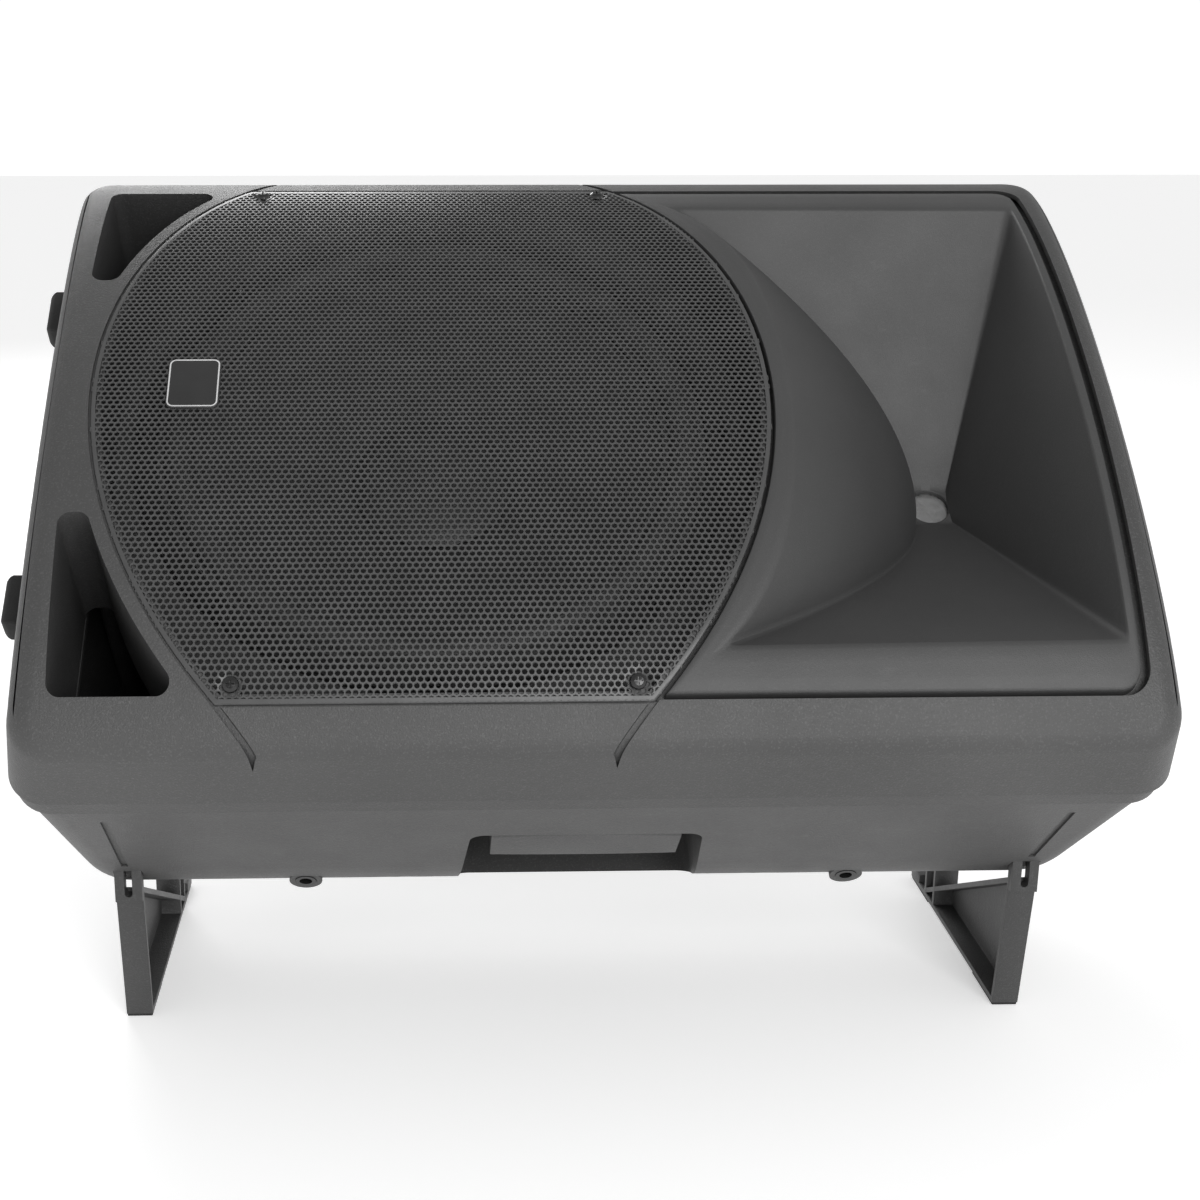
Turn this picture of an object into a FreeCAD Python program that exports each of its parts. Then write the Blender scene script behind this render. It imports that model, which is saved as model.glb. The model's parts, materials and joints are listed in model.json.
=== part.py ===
"""A moulded two-way loudspeaker lying on its side on two clip-on legs, as a stage monitor wedge.

Every cabinet piece is drawn in the cabinet's own frame and then leaned back by its placement:
x runs along the cabinet towards the horn end, y across it, and z out of the bowed front.
The legs are drawn upright, with y towards the back and z up from the floor.
"""
import FreeCAD, Part
import math
import os
import re

import Sketcher
from FreeCAD import Placement, Rotation, Vector

SIZES = {
    # How the cabinet stands
    "baffle_angle": 40.0, "chord_height": 404.0, "shift_x": 4.5, "shift_y": -72.64,
    # Front shell: half sizes of the plan at two levels, and the bow of the front
    "chord_half_length": 341.0, "chord_half_width": 232.5, "plan_corner": 25.0,
    "flare_level": -60.0, "flare_half_length": 350.0, "flare_half_width": 243.0,
    "bow_half": 248.6, "bow_rise": 76.4, "bow_base": -40.4, "front_round": 17.0,
    "seam_level": -75.0, "lip_inset": 1.6, "wall": 4.0, "rim_width": 32.0,
    "parting_gap": 1.6, "parting_depth": 2.4,
    # Rear shell: level, half length and half width of each ring; the middle rings steer a curve
    "seam_half_length": 346.5, "seam_half_width": 239.5,
    "shoulder_start_level": -185.0, "shoulder_start_half_length": 331.0,
    "shoulder_start_half_width": 225.6,
    "shoulder_middle_level": -226.0, "shoulder_middle_half_length": 325.3,
    "shoulder_middle_half_width": 220.8,
    "shoulder_end_level": -268.0, "shoulder_end_half_length": 315.2,
    "shoulder_end_half_width": 185.7,
    "heel_start_level": -320.0, "heel_start_half_length": 302.5, "heel_start_half_width": 141.5,
    "heel_middle_level": -344.0, "heel_middle_half_length": 296.6, "heel_middle_half_width": 121.1,
    "heel_end_level": -344.0, "heel_end_half_length": 279.0, "heel_end_half_width": 104.0,
    # Grille and its well
    "grille_x": -95.3, "grille_half_length": 211.3, "grille_half_width": 211.0, "grille_arc": 305.0,
    "grille_sheet": 1.2, "grille_gap": 1.6, "grille_seat": 2.2, "well_inset": 6.0,
    "baffle_level": -24.0, "baffle_plate": 6.0, "baffle_hole": 182.0,
    "grille_screw_x": 117.4, "grille_screw_y": 200.7,
    "grille_screw_length": 10.0, "grille_screw_shank": 1.9, "badge_x": -244.0,
    "badge_length": 33.0, "badge_width": 40.0, "badge_corner": 5.0, "badge_plate": 1.4,
    "antler_width": 4.0, "antler_depth": 2.6, "antler_length": 34.0, "antler_angle": 49.0,
    # Ports
    "port_outer_x": -318.5, "port_low_y": 95.0, "port_high_y": 206.6, "port_offset": 9.5,
    "port_corner": 8.0, "port_depth": 72.0, "port_wall": 3.0,
    # Horn moulding
    "horn_end_x": 318.0, "horn_half_width": 207.0, "horn_corner": 12.0, "horn_gap": 3.5,
    "horn_flange": 8.5, "horn_ledge": 9.0, "horn_wall": 4.0, "throat_x": 248.0,
    "throat_level": -95.0, "throat_radius": 13.75, "mouth_level": 12.0, "mouth_crown": 36.0,
    "mouth_left_x": 69.8, "mouth_left_y": 183.0, "mouth_right_x": 311.0, "mouth_right_y": 180.0,
    "mouth_middle_x": 128.0, "throat_half": 14.0, "flare_clip": 9.5,
    "left_law": 1.7, "middle_law": 1.9, "left_growth": 3.0, "middle_growth": 1.6,
    # Woofer, level of each feature
    "woofer_x": -95.3, "frame_radius": 193.0, "frame_plate": 4.0, "gasket_plate": 3.0,
    "surround_outer": 178.0, "surround_inner": 150.0, "surround_rise": 9.0, "surround_skin": 1.2,
    "cone_level": -23.0, "cone_radius": 152.0, "neck_level": -81.0, "neck_radius": 33.0,
    "cone_skin": 1.4, "cap_radius": 53.0, "cap_rise": 15.0, "coil_inner": 31.9, "coil_skin": 1.1,
    "coil_bottom": -128.0, "spider_level": -93.0, "spider_skin": 1.2, "spider_radius": 78.0,
    "basket_foot": 84.0, "basket_foot_level": -100.0, "basket_back": -115.0, "basket_skin": 3.0,
    "plate_radius": 74.0, "plate_thick": 8.0, "ring_radius": 78.0, "ring_thick": 20.0,
    "ring_hole": 42.0, "plate_hole": 34.4, "pole_radius": 31.2, "yoke_thick": 9.0,
    "pole_vent": 10.0, "woofer_screw_circle": 187.0, "woofer_screw_count": 8, "woofer_screw_shank": 2.1,
    "screw_play": 0.1,
    # Compression driver behind the horn throat
    "neck_length": 8.0, "driver_radius": 46.0, "driver_plate": 9.0, "driver_ring_radius": 44.0,
    "driver_ring_thick": 20.0, "driver_cap_radius": 40.0, "driver_cap_depth": 20.0,
    "dome_radius": 22.0, "dome_rise": 7.0,
    # Hand pockets and grips, on both long sides
    "pocket_front": -126.0, "pocket_back": -250.0, "pocket_front_half": 73.0,
    "pocket_back_half": 82.0, "pocket_floor_y": 168.0, "grip_half": 60.0, "grip_depth": 49.0,
    "grip_thick": 17.0,
    # Fly points, grooves above the legs, pole socket and feet
    "fly_x": 182.0, "fly_level": -215.0, "fly_radius": 11.0, "fly_bore": 4.3,
    "groove_half": 2.2, "groove_depth": 1.6, "groove_start": -95.0, "leg_x": 297.0,
    "pole_level": -190.0, "pole_radius_inner": 18.0, "pole_tube": 3.0, "pole_length": 80.0,
    "pole_flange": 33.0, "pole_plate": 4.0, "pole_face_x": 326.0,
    "foot_x": 359.0, "foot_y": 120.0, "foot_front": -34.0, "foot_rear": -150.0,
    "foot_length": 36.0, "foot_width": 20.0,
    # Screws that pull the rear shell onto the front shell
    "boss_radius": 9.0, "boss_bore": 6.5, "boss_y": 205.0, "boss_inner_x": 120.0,
    "boss_outer_x": 215.0, "boss_end_x": 312.0, "boss_end_y": 60.0, "boss_floor": -150.0,
    "boss_tip": -45.0,
    # Amplifier dish in the rear face and what is in it
    "dish_half_length": 140.0, "dish_half_width": 98.0, "dish_depth": 24.0, "dish_corner": 14.0,
    "panel_half_length": 136.0, "panel_half_width": 94.0, "panel_plate": 3.0,
    "sink_x": -72.0, "sink_half_length": 56.0, "sink_half_width": 84.0, "sink_base": 4.0,
    "fin_pitch": 8.0, "fin_thick": 2.4, "fin_height": 11.0, "fin_count": 14,
    "knob_x": 20.0, "knob_pitch": 34.0, "knob_row_y": 56.0, "knob_radius": 9.0, "knob_depth": 13.0,
    "shaft_radius": 3.0, "shaft_length": 12.0, "shaft_play": 0.05, "knob_gap": 0.6,
    "socket_row_y": -4.0, "socket_radius": 13.0, "socket_bore": 9.0, "socket_depth": 16.0,
    "inlet_x": 34.0, "inlet_y": -62.0, "inlet_length": 48.0, "inlet_width": 30.0,
    "switch_x": 94.0, "switch_y": -62.0, "switch_length": 30.0, "switch_width": 22.0,
    "rocker_play": 0.5, "board_plate": 1.6,
    # Clip-on legs
    "leg_width": 17.8, "leg_web": 3.0, "leg_flange": 3.6, "pad_plate": 2.0,
    "leg_toe_y": -34.4, "leg_top_y": -48.8, "leg_top": 101.0, "leg_tail_y": 140.0,
    "leg_heel_y": 174.0, "leg_heel_height": 12.0, "pad_length": 46.0, "prong_back_y": -43.5,
    "prong_front_y": -51.5, "prong_top": 130.0, "prong_gap": 5.0, "post_front_y": 112.0,
    "post_back_y": 137.0, "post_top": 84.0, "leg_play": 0.5,
}

CURVE_STEPS = 6

doc = FreeCAD.newDocument("stage_monitor_wedge")
sheet = doc.addObject("Spreadsheet::Sheet", "Sizes")
pieces = []


def fill_sheet():
    """Writes each driving dimension as a plain number with its own alias."""
    for row, (name, number) in enumerate(SIZES.items(), start=1):
        sheet.set(f"A{row}", name)
        sheet.set(f"B{row}", str(number))
        sheet.setAlias(f"B{row}", name)
    doc.recompute()


def size(name):
    """One dimension, read from the sheet."""
    return float(sheet.get(name))


def bind(rule):
    """Turns a rule such as 'wall + 2' into an expression on the sheet's cells."""
    return re.sub(r"[a-z_]+", r"Sizes.\g<0>", rule)


def evaluate(rule):
    """The present value of a rule."""
    number = sheet.evalExpression(bind(rule))
    return float(getattr(number, "Value", number))


# ---------------------------------------------------------------- placements


def cabinet_pose(x=0.0, y=0.0, z=0.0):
    """Leans the cabinet back onto its legs, after moving a piece to (x, y, z) in the cabinet."""
    lean = Rotation(Vector(1, 0, 0), size("baffle_angle"))
    rise = Vector(size("shift_x"), size("shift_y"), size("chord_height"))
    return Placement(rise, lean).multiply(Placement(Vector(x, y, z), Rotation()))


def floor_pose():
    """Stands a piece that is drawn upright from the floor."""
    return Placement(Vector(size("shift_x"), size("shift_y"), 0), Rotation())


def into_cabinet(shape):
    """An upright shape, turned into the cabinet's own frame."""
    moved = shape.copy()
    lean = Rotation(Vector(1, 0, 0), size("baffle_angle"))
    moved.Placement = Placement(Vector(0, 0, size("chord_height")), lean).inverse()
    return moved


# ---------------------------------------------------------------- drawing helpers


def add_piece(label, shape, placement):
    """Adds a piece made with Part's functions."""
    feature = doc.addObject("Part::Feature", label)
    feature.Label = label
    feature.Shape = shape
    feature.Placement = placement
    pieces.append(feature)


def add_body(label, placement):
    """Adds an empty body that becomes one piece."""
    body = doc.addObject("PartDesign::Body", label)
    body.Label = label
    body.Placement = placement
    pieces.append(body)
    return body


def add_sketch(body, name, role, level=None):
    """A sketch on one of the body's own origin planes, at an optional level above it."""
    planes = [item for item in body.Origin.OriginFeatures if item.Role == role]
    sketch = body.newObject("Sketcher::SketchObject", name)
    sketch.AttachmentSupport = (planes[0], [""])
    sketch.MapMode = "FlatFace"
    if level:
        sketch.setExpression("AttachmentOffset.Base.z", bind(level))
    return sketch


def pin(sketch, geometry, point, kind, rule):
    """Ties a point to the sketch's origin by a rule, or to an axis where the rule is zero."""
    length = evaluate(rule)
    if abs(length) < 1e-9:
        axis = -2 if kind == "DistanceX" else -1
        sketch.addConstraint(Sketcher.Constraint("PointOnObject", geometry, point, axis))
        return
    index = sketch.addConstraint(Sketcher.Constraint(kind, -1, 1, geometry, point, length))
    sketch.setExpression(f"Constraints[{index}]", bind(rule))


def draw_polygon(sketch, points):
    """A closed outline whose corners follow pairs of rules."""
    corners = [Vector(evaluate(across), evaluate(along), 0) for across, along in points]
    count = len(corners)
    for index in range(count):
        line = Part.LineSegment(corners[index], corners[(index + 1) % count])
        sketch.addGeometry(line, False)
    for index in range(count):
        sketch.addConstraint(Sketcher.Constraint("Coincident", index, 2, (index + 1) % count, 1))
    for index, (across, along) in enumerate(points):
        pin(sketch, index, 1, "DistanceX", across)
        pin(sketch, index, 1, "DistanceY", along)


def draw_circle(sketch, radius, across="0", along="0"):
    """A circle whose radius and centre follow rules."""
    centre = Vector(evaluate(across), evaluate(along), 0)
    circle = Part.Circle(centre, Vector(0, 0, 1), evaluate(radius))
    geometry = sketch.addGeometry(circle, False)
    index = sketch.addConstraint(Sketcher.Constraint("Radius", geometry, evaluate(radius)))
    sketch.setExpression(f"Constraints[{index}]", bind(radius))
    pin(sketch, geometry, 3, "DistanceX", across)
    pin(sketch, geometry, 3, "DistanceY", along)


def revolve(body, points):
    """Turns a closed outline, given as (radius, level) rules, about the body's z axis."""
    sketch = add_sketch(body, f"{body.Label}_section", "XZ_Plane")
    draw_polygon(sketch, points)
    feature = body.newObject("PartDesign::Revolution", f"{body.Label}_turned")
    feature.Profile = sketch
    feature.ReferenceAxis = (sketch, ["V_Axis"])
    feature.Angle = 360
    sketch.Visibility = False
    doc.recompute()
    return feature


def pad(body, sketch, length, name="pad"):
    """Pads a sketch upwards by a rule."""
    feature = body.newObject("PartDesign::Pad", f"{body.Label}_{name}")
    feature.Profile = sketch
    feature.setExpression("Length", bind(length))
    sketch.Visibility = False
    doc.recompute()
    return feature


def pocket(body, sketch, length, name="pocket", reverse=False):
    """Cuts a sketch out of the body and makes sure that it cut something."""
    before = body.Shape.Volume
    feature = body.newObject("PartDesign::Pocket", f"{body.Label}_{name}")
    feature.Profile = sketch
    feature.setExpression("Length", bind(length))
    feature.Reversed = reverse
    sketch.Visibility = False
    doc.recompute()
    if body.Shape.Volume > before - 1e-3:
        raise RuntimeError(f"{feature.Name} cuts nothing")
    return feature


def ring_wire(half_x, half_y, corner, level):
    """A rectangle with round corners, lying flat at a level."""
    inner_x = half_x - corner
    inner_y = half_y - corner
    centres = ((inner_x, inner_y), (-inner_x, inner_y), (-inner_x, -inner_y), (inner_x, -inner_y))
    arcs = []
    for quarter, (x, y) in enumerate(centres):
        circle = Part.Circle(Vector(x, y, level), Vector(0, 0, 1), corner)
        start = math.radians(90 * quarter)
        arcs.append(Part.Arc(circle, start, start + math.pi / 2).toShape())
    edges = []
    for index, arc in enumerate(arcs):
        following = arcs[(index + 1) % 4]
        edges.append(arc)
        edges.append(Part.makeLine(arc.Vertexes[-1].Point, following.Vertexes[0].Point))
    return Part.Wire(edges)


def prism(wire, bottom, top):
    """A flat wire's inside, as a solid between two levels."""
    face = Part.Face(wire)
    face.translate(Vector(0, 0, bottom - face.BoundBox.ZMin))
    return face.extrude(Vector(0, 0, top - bottom))


def block(x, y, z):
    """A box between two corners, each argument a (low, high) pair."""
    box = Part.makeBox(x[1] - x[0], y[1] - y[0], z[1] - z[0])
    box.translate(Vector(x[0], y[0], z[0]))
    return box


def rod(radius, centre, direction, length):
    """A cylinder from a centre along a direction."""
    return Part.makeCylinder(radius, length, Vector(*centre), Vector(*direction))


def bow(y, inset=0.0):
    """Level of the bowed front at a distance y from its middle line."""
    rise = (size("bow_rise") - inset) * math.sqrt(1 - (y / (size("bow_half") - inset)) ** 2)
    return size("bow_base") + rise


# ---------------------------------------------------------------- front shell


def bow_prism(inset):
    """Everything under the bowed front surface, lowered by an inset."""
    half = size("bow_half") - inset
    rise = size("bow_rise") - inset
    base = size("bow_base")
    ellipse = Part.Ellipse(Vector(0, half, 0), Vector(0, 0, rise), Vector(0, 0, 0))
    arch = Part.Arc(ellipse, 0, math.pi).toShape()
    arch.translate(Vector(0, 0, base))
    ends = [vertex.Point for vertex in arch.Vertexes]
    if ends[0].y < ends[1].y:
        ends.reverse()
    floor = -140.0
    left = Part.makeLine(ends[1], Vector(0, ends[1].y, floor))
    bottom = Part.makeLine(Vector(0, ends[1].y, floor), Vector(0, ends[0].y, floor))
    right = Part.makeLine(Vector(0, ends[0].y, floor), ends[0])
    face = Part.Face(Part.Wire([arch, left, bottom, right]))
    face.translate(Vector(-400, 0, 0))
    return face.extrude(Vector(800, 0, 0))


def front_flare(inset):
    """The tapering sides of the front shell, carried on above the bow."""
    drop = -size("flare_level")
    top = 60.0
    grow_x = (size("flare_half_length") - size("chord_half_length")) / drop
    grow_y = (size("flare_half_width") - size("chord_half_width")) / drop
    wires = []
    for level in (size("flare_level"), top):
        half_x = size("chord_half_length") - grow_x * level - inset
        half_y = size("chord_half_width") - grow_y * level - inset
        wires.append(ring_wire(half_x, half_y, size("plan_corner") - inset, level))
    return Part.makeLoft(wires, True, True)


def front_block(inset=0.0):
    """The front half as a closed block, with its outer faces moved in by an inset."""
    return front_flare(inset).common(bow_prism(inset))


def rounded_front(inset=0.0):
    """The front block with its front edge rounded, and the stepped lip below it."""
    outer = front_block(inset)
    front_edges = []
    for edge in outer.Edges:
        middle = edge.valueAt((edge.FirstParameter + edge.LastParameter) / 2)
        near_side = abs(middle.y) > 190 or abs(middle.x) > 300
        on_bow = abs(middle.z - bow(middle.y, inset)) < 0.05
        if near_side and on_bow:
            front_edges.append(edge)
    outer = outer.makeFillet(size("front_round") - inset, front_edges)
    lip_x = size("flare_half_length") - size("lip_inset")
    lip_y = size("flare_half_width") - size("lip_inset")
    lip = ring_wire(lip_x, lip_y, size("plan_corner"), size("seam_level"))
    return outer.fuse(prism(lip, size("seam_level"), size("flare_level")))


def grille_outline(grow):
    """Two wide arcs joined by straight cuts along the long edges, grown all round."""
    centre_x = size("grille_x")
    radius = size("grille_arc") + grow
    half_y = size("grille_half_width") + grow
    off = size("grille_arc") - size("grille_half_length")
    reach = math.sqrt(radius ** 2 - half_y ** 2) - off
    right_top = Vector(centre_x + reach, half_y, 0)
    right_low = Vector(centre_x + reach, -half_y, 0)
    left_top = Vector(centre_x - reach, half_y, 0)
    left_low = Vector(centre_x - reach, -half_y, 0)
    right = Part.Arc(right_low, Vector(centre_x + radius - off, 0, 0), right_top).toShape()
    left = Part.Arc(left_top, Vector(centre_x - radius + off, 0, 0), left_low).toShape()
    top = Part.makeLine(right_top, left_top)
    bottom = Part.makeLine(left_low, right_low)
    return Part.Wire([right, top, left, bottom])


def port_outline(grow):
    """Three straight sides and one concentric with the grille, grown all round."""
    off = size("grille_arc") - size("grille_half_length")
    centre_x = size("grille_x") + off
    radius = size("grille_arc") + size("port_offset") - grow
    outer_x = size("port_outer_x") - grow
    high = size("port_high_y") + grow
    low = size("port_low_y") - grow
    toe = Vector(centre_x - math.sqrt(radius ** 2 - high ** 2), high, 0)
    tip = Vector(centre_x - math.sqrt(radius ** 2 - low ** 2), low, 0)
    turn = (math.asin(high / radius) + math.asin(low / radius)) / 2
    middle = Vector(centre_x - radius * math.cos(turn), radius * math.sin(turn), 0)
    tip_out = Vector(outer_x, low, 0)
    heel = Vector(outer_x, high, 0)
    arc = Part.Arc(toe, middle, tip).toShape()
    sides_out = [Part.makeLine(tip, tip_out), Part.makeLine(tip_out, heel), Part.makeLine(heel, toe)]
    return Part.Wire([arc] + sides_out)


def port_prism(grow, bottom, top, side):
    """A port's section as a solid with rounded upright edges, on one side of the cabinet."""
    solid = prism(port_outline(grow), bottom, top)
    upright = []
    for edge in solid.Edges:
        ends = [vertex.Point for vertex in edge.Vertexes]
        if len(ends) == 2 and abs(ends[0].z - ends[1].z) > 1:
            upright.append(edge)
    solid = solid.makeFillet(size("port_corner") + max(grow, 0) / 2, upright)
    if side < 0:
        solid = solid.mirror(Vector(0, 0, 0), Vector(0, 1, 0))
    return solid


def horn_outline(grow):
    """Three straight sides with round corners, and an arc that runs beside the grille."""
    off = size("grille_arc") - size("grille_half_length")
    centre_x = size("grille_x") - off
    radius = size("grille_arc") + size("grille_gap") + 0.8 - grow
    half_y = size("horn_half_width") + grow
    end_x = size("horn_end_x") + grow
    corner = size("horn_corner") + grow
    start_x = centre_x + math.sqrt(radius ** 2 - half_y ** 2)
    slant = math.sqrt(0.5) * corner
    top_in = Vector(end_x - corner, half_y, 0)
    top_mid = Vector(end_x - corner + slant, half_y - corner + slant, 0)
    top_out = Vector(end_x, half_y - corner, 0)
    low_out = Vector(end_x, corner - half_y, 0)
    low_mid = Vector(top_mid.x, -top_mid.y, 0)
    low_in = Vector(top_in.x, -half_y, 0)
    left_low = Vector(start_x, -half_y, 0)
    left_top = Vector(start_x, half_y, 0)
    edges = [
        Part.Arc(left_low, Vector(centre_x + radius, 0, 0), left_top).toShape(),
        Part.makeLine(left_top, top_in),
        Part.Arc(top_in, top_mid, top_out).toShape(),
        Part.makeLine(top_out, low_out),
        Part.Arc(low_out, low_mid, low_in).toShape(),
        Part.makeLine(low_in, left_low),
    ]
    return Part.Wire(edges)


def antler_slots():
    """Four short slots that carry the grille's arcs on over the rounded long edges."""
    angle = size("antler_angle")
    off = size("grille_arc") - size("grille_half_length")
    reach = math.sqrt(size("grille_arc") ** 2 - size("grille_half_width") ** 2) - off
    half = size("antler_width") / 2
    slots = []
    for end in (-1, 1):
        for side in (-1, 1):
            slot = block((-6, size("antler_length")), (-half, half), (-60, 60))
            slot.rotate(Vector(), Vector(0, 0, 1), angle)
            slot = slot.mirror(Vector(), Vector(1, 0, 0)) if end > 0 else slot
            slot = slot.mirror(Vector(), Vector(0, 1, 0)) if side < 0 else slot
            slot.translate(Vector(size("grille_x") + end * reach, side * size("grille_half_width"), 0))
            slots.append(slot)
    return Part.makeCompound(slots)


def boss_places():
    """Centres of the long screws that join the two shells."""
    places = []
    for end in (-1, 1):
        for side in (-1, 1):
            places.append((end * size("boss_inner_x"), side * size("boss_y")))
            places.append((end * size("boss_outer_x"), side * size("boss_y")))
            places.append((end * size("boss_end_x"), side * size("boss_end_y")))
    return places


def grille_screw_places():
    """Centres of the four grille screws."""
    places = []
    for end in (-1, 1):
        for side in (-1, 1):
            places.append((size("grille_x") + end * size("grille_screw_x"), side * size("grille_screw_y")))
    return places


def bow_normal(y):
    """The direction square to the bowed front at a distance y from its middle."""
    rise = size("bow_rise")
    half = size("bow_half")
    slope = rise * y / (half ** 2 * math.sqrt(1 - (y / half) ** 2))
    return Vector(0, slope, 1).normalize()


def grille_screw_holes():
    """Clear holes for the grille screws, square to the bowed front."""
    holes = []
    radius = size("grille_screw_shank") + size("screw_play")
    deep = size("grille_screw_length") + 1
    for x, y in grille_screw_places():
        outward = bow_normal(y)
        start = Vector(x, y, bow(y)) - outward * deep
        holes.append(rod(radius, start, outward, deep + 5))
    return holes


def woofer_screw_places():
    """Centres of the woofer's screws, from the woofer's own axis."""
    count = int(size("woofer_screw_count"))
    places = []
    for index in range(count):
        angle = 2 * math.pi * index / count
        radius = size("woofer_screw_circle")
        places.append((radius * math.cos(angle), radius * math.sin(angle)))
    return places


def front_shell():
    """The moulded front half: bowed face, grille well with its baffle, port tubes and bosses."""
    seam = size("seam_level")
    wall = size("wall")
    baffle = size("baffle_level")
    under = baffle - size("baffle_plate")
    outer = rounded_front()
    inner_lip = ring_wire(size("flare_half_length") - size("lip_inset") - wall,
                          size("flare_half_width") - size("lip_inset") - wall,
                          size("plan_corner") - wall, seam)
    hollow = front_block(wall).fuse(prism(inner_lip, seam - 1, size("flare_level")))
    shell = outer.cut(hollow)

    skin = front_block(size("grille_seat"))
    added = [prism(grille_outline(-2.0), under, 60).common(skin)]
    for side in (-1, 1):
        mouth = port_prism(size("port_wall"), size("flare_level"), 60, side)
        added.append(mouth.common(front_block(1.0)))
        added.append(port_prism(size("port_wall"), -size("port_depth"), size("flare_level"), side))
    ledge_top = front_block(size("horn_ledge"))
    ledge = ledge_top.cut(front_block(size("horn_ledge") + wall))
    added.append(ledge.common(prism(horn_outline(size("horn_gap") + 4), -60, 60)))
    for x, y in boss_places():
        boss = rod(size("boss_radius"), (x, y, seam), (0, 0, 1), size("boss_tip") - seam)
        added.append(boss.common(front_block(1.0).fuse(prism(inner_lip, seam, size("flare_level")))))
    rim = ring_wire(size("flare_half_length") - size("lip_inset") - 1,
                    size("flare_half_width") - size("lip_inset") - 1, size("plan_corner"), seam)
    rim_hole = ring_wire(size("flare_half_length") - size("rim_width"),
                         size("flare_half_width") - size("rim_width"), size("plan_corner") - 8, seam)
    added.append(prism(rim, seam, seam + 5).cut(prism(rim_hole, seam - 1, seam + 6)))
    shell = shell.fuse(added)

    removed = [prism(grille_outline(size("grille_gap")), -60, 60).cut(skin)]
    removed.append(prism(grille_outline(-size("well_inset")), baffle, 60))
    removed.append(rod(size("baffle_hole"), (size("woofer_x"), 0, -80), (0, 0, 1), 100))
    for side in (-1, 1):
        removed.append(port_prism(0, -130, 60, side))
    removed.append(prism(horn_outline(size("horn_gap")), -60, 60).cut(ledge_top))
    removed.append(prism(horn_outline(-size("horn_ledge")), -60, 60))
    removed.append(antler_slots().cut(rounded_front(size("antler_depth"))))
    for x, y in boss_places():
        removed.append(rod(2.0, (x, y, seam - 1), (0, 0, 1), size("boss_tip") - seam - 4))
    removed.append(seal_ring(0.2, 2.2))
    for x, y in woofer_screw_places():
        hole = size("woofer_screw_shank") + size("screw_play")
        removed.append(rod(hole, (x + size("woofer_x"), y, under - 1), (0, 0, 1), 20))
    shell = shell.cut(removed)

    posts = []
    for x, y in grille_screw_places():
        post = rod(6.5, (x, y, baffle - 1), (0, 0, 1), 60).common(skin)
        posts.append(post)
    shell = shell.fuse(posts)
    shell = shell.cut(grille_screw_holes())
    return shell.removeSplitter()


def seal_ring(play, thick):
    """The ring of sealing cord in the front shell's rim, or its groove when play is added."""
    seam = size("seam_level")
    middle_x = size("flare_half_length") - 8.5
    middle_y = size("flare_half_width") - 8.5
    outer = ring_wire(middle_x + 1.5 + play, middle_y + 1.5 + play, size("plan_corner") - 5, seam)
    inner = ring_wire(middle_x - 1.5 - play, middle_y - 1.5 - play, size("plan_corner") - 8, seam)
    return prism(outer, seam, seam + thick).cut(prism(inner, seam - 1, seam + thick + 1))


# ---------------------------------------------------------------- rear shell


def ring_sizes(name):
    """Level, half length and half width of one named ring, as a vector."""
    level = size(f"{name}_level")
    return Vector(level, size(f"{name}_half_length"), size(f"{name}_half_width"))


def curved_rings(name):
    """Rings along a smooth curve from a start to an end, steered by the ring in the middle."""
    start = ring_sizes(f"{name}_start")
    middle = ring_sizes(f"{name}_middle")
    end = ring_sizes(f"{name}_end")
    rings = []
    for step in range(CURVE_STEPS + 1):
        share = step / CURVE_STEPS
        rings.append(start * (1 - share) ** 2 + middle * (2 * share * (1 - share)) + end * share ** 2)
    return rings


def rear_block(inset=0.0):
    """The rear half as a closed block: straight sides, round shoulders, sloped facets, flat back."""
    shoulder = curved_rings("shoulder")
    heel = curved_rings("heel")
    back = size("heel_end_level")
    corner = size("plan_corner") - inset / 2
    blocks = []
    for rings, ruled in (([ring_sizes("seam"), shoulder[0]], True), (shoulder, False),
                         ([shoulder[-1], heel[0]], True), (heel, False)):
        wires = []
        for level, half_x, half_y in rings:
            lift = inset * max(0.0, (heel[0].x - level) / (heel[0].x - back))
            wires.append(ring_wire(half_x - inset, half_y - inset, corner, level + lift))
        blocks.append(Part.makeLoft(wires, True, ruled))
    return blocks[0].fuse(blocks[1:]).removeSplitter()


def pocket_prism(grow):
    """The hand pocket behind one grip, on the +y side."""
    front = size("pocket_front") + grow
    back = size("pocket_back") - grow
    front_half = size("pocket_front_half") + grow
    back_half = size("pocket_back_half") + grow
    floor_y = size("pocket_floor_y") - grow
    corners = [
        Vector(-front_half, floor_y, front), Vector(front_half, floor_y, front),
        Vector(back_half, floor_y, back), Vector(-back_half, floor_y, back),
    ]
    face = Part.Face(Part.makePolygon(corners + corners[:1]))
    solid = face.extrude(Vector(0, 120, 0))
    along = [edge for edge in solid.Edges if abs(edge.tangentAt(edge.FirstParameter).y) > 0.9]
    return solid.makeFillet(10 + grow, along)


def sides(shape):
    """A shape and its mirror image on the other long side."""
    return [shape, shape.mirror(Vector(0, 0, 0), Vector(0, 1, 0))]


def leg_sockets(play):
    """The four slots, or with play and wall the blocks round them, that take the legs' tops."""
    sockets = []
    for end in (-1, 1):
        half = size("leg_width") / 2 + play
        across = (end * size("leg_x") - half, end * size("leg_x") + half)
        front = (size("prong_front_y") - play, size("prong_back_y") + play)
        rear = (size("post_front_y") - play, size("post_back_y") + play)
        sockets.append(block(across, front, (60, size("prong_top") + play + 0.4)))
        sockets.append(block(across, rear, (40, size("post_top") + play + 0.4)))
    return into_cabinet(Part.makeCompound(sockets))


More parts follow.
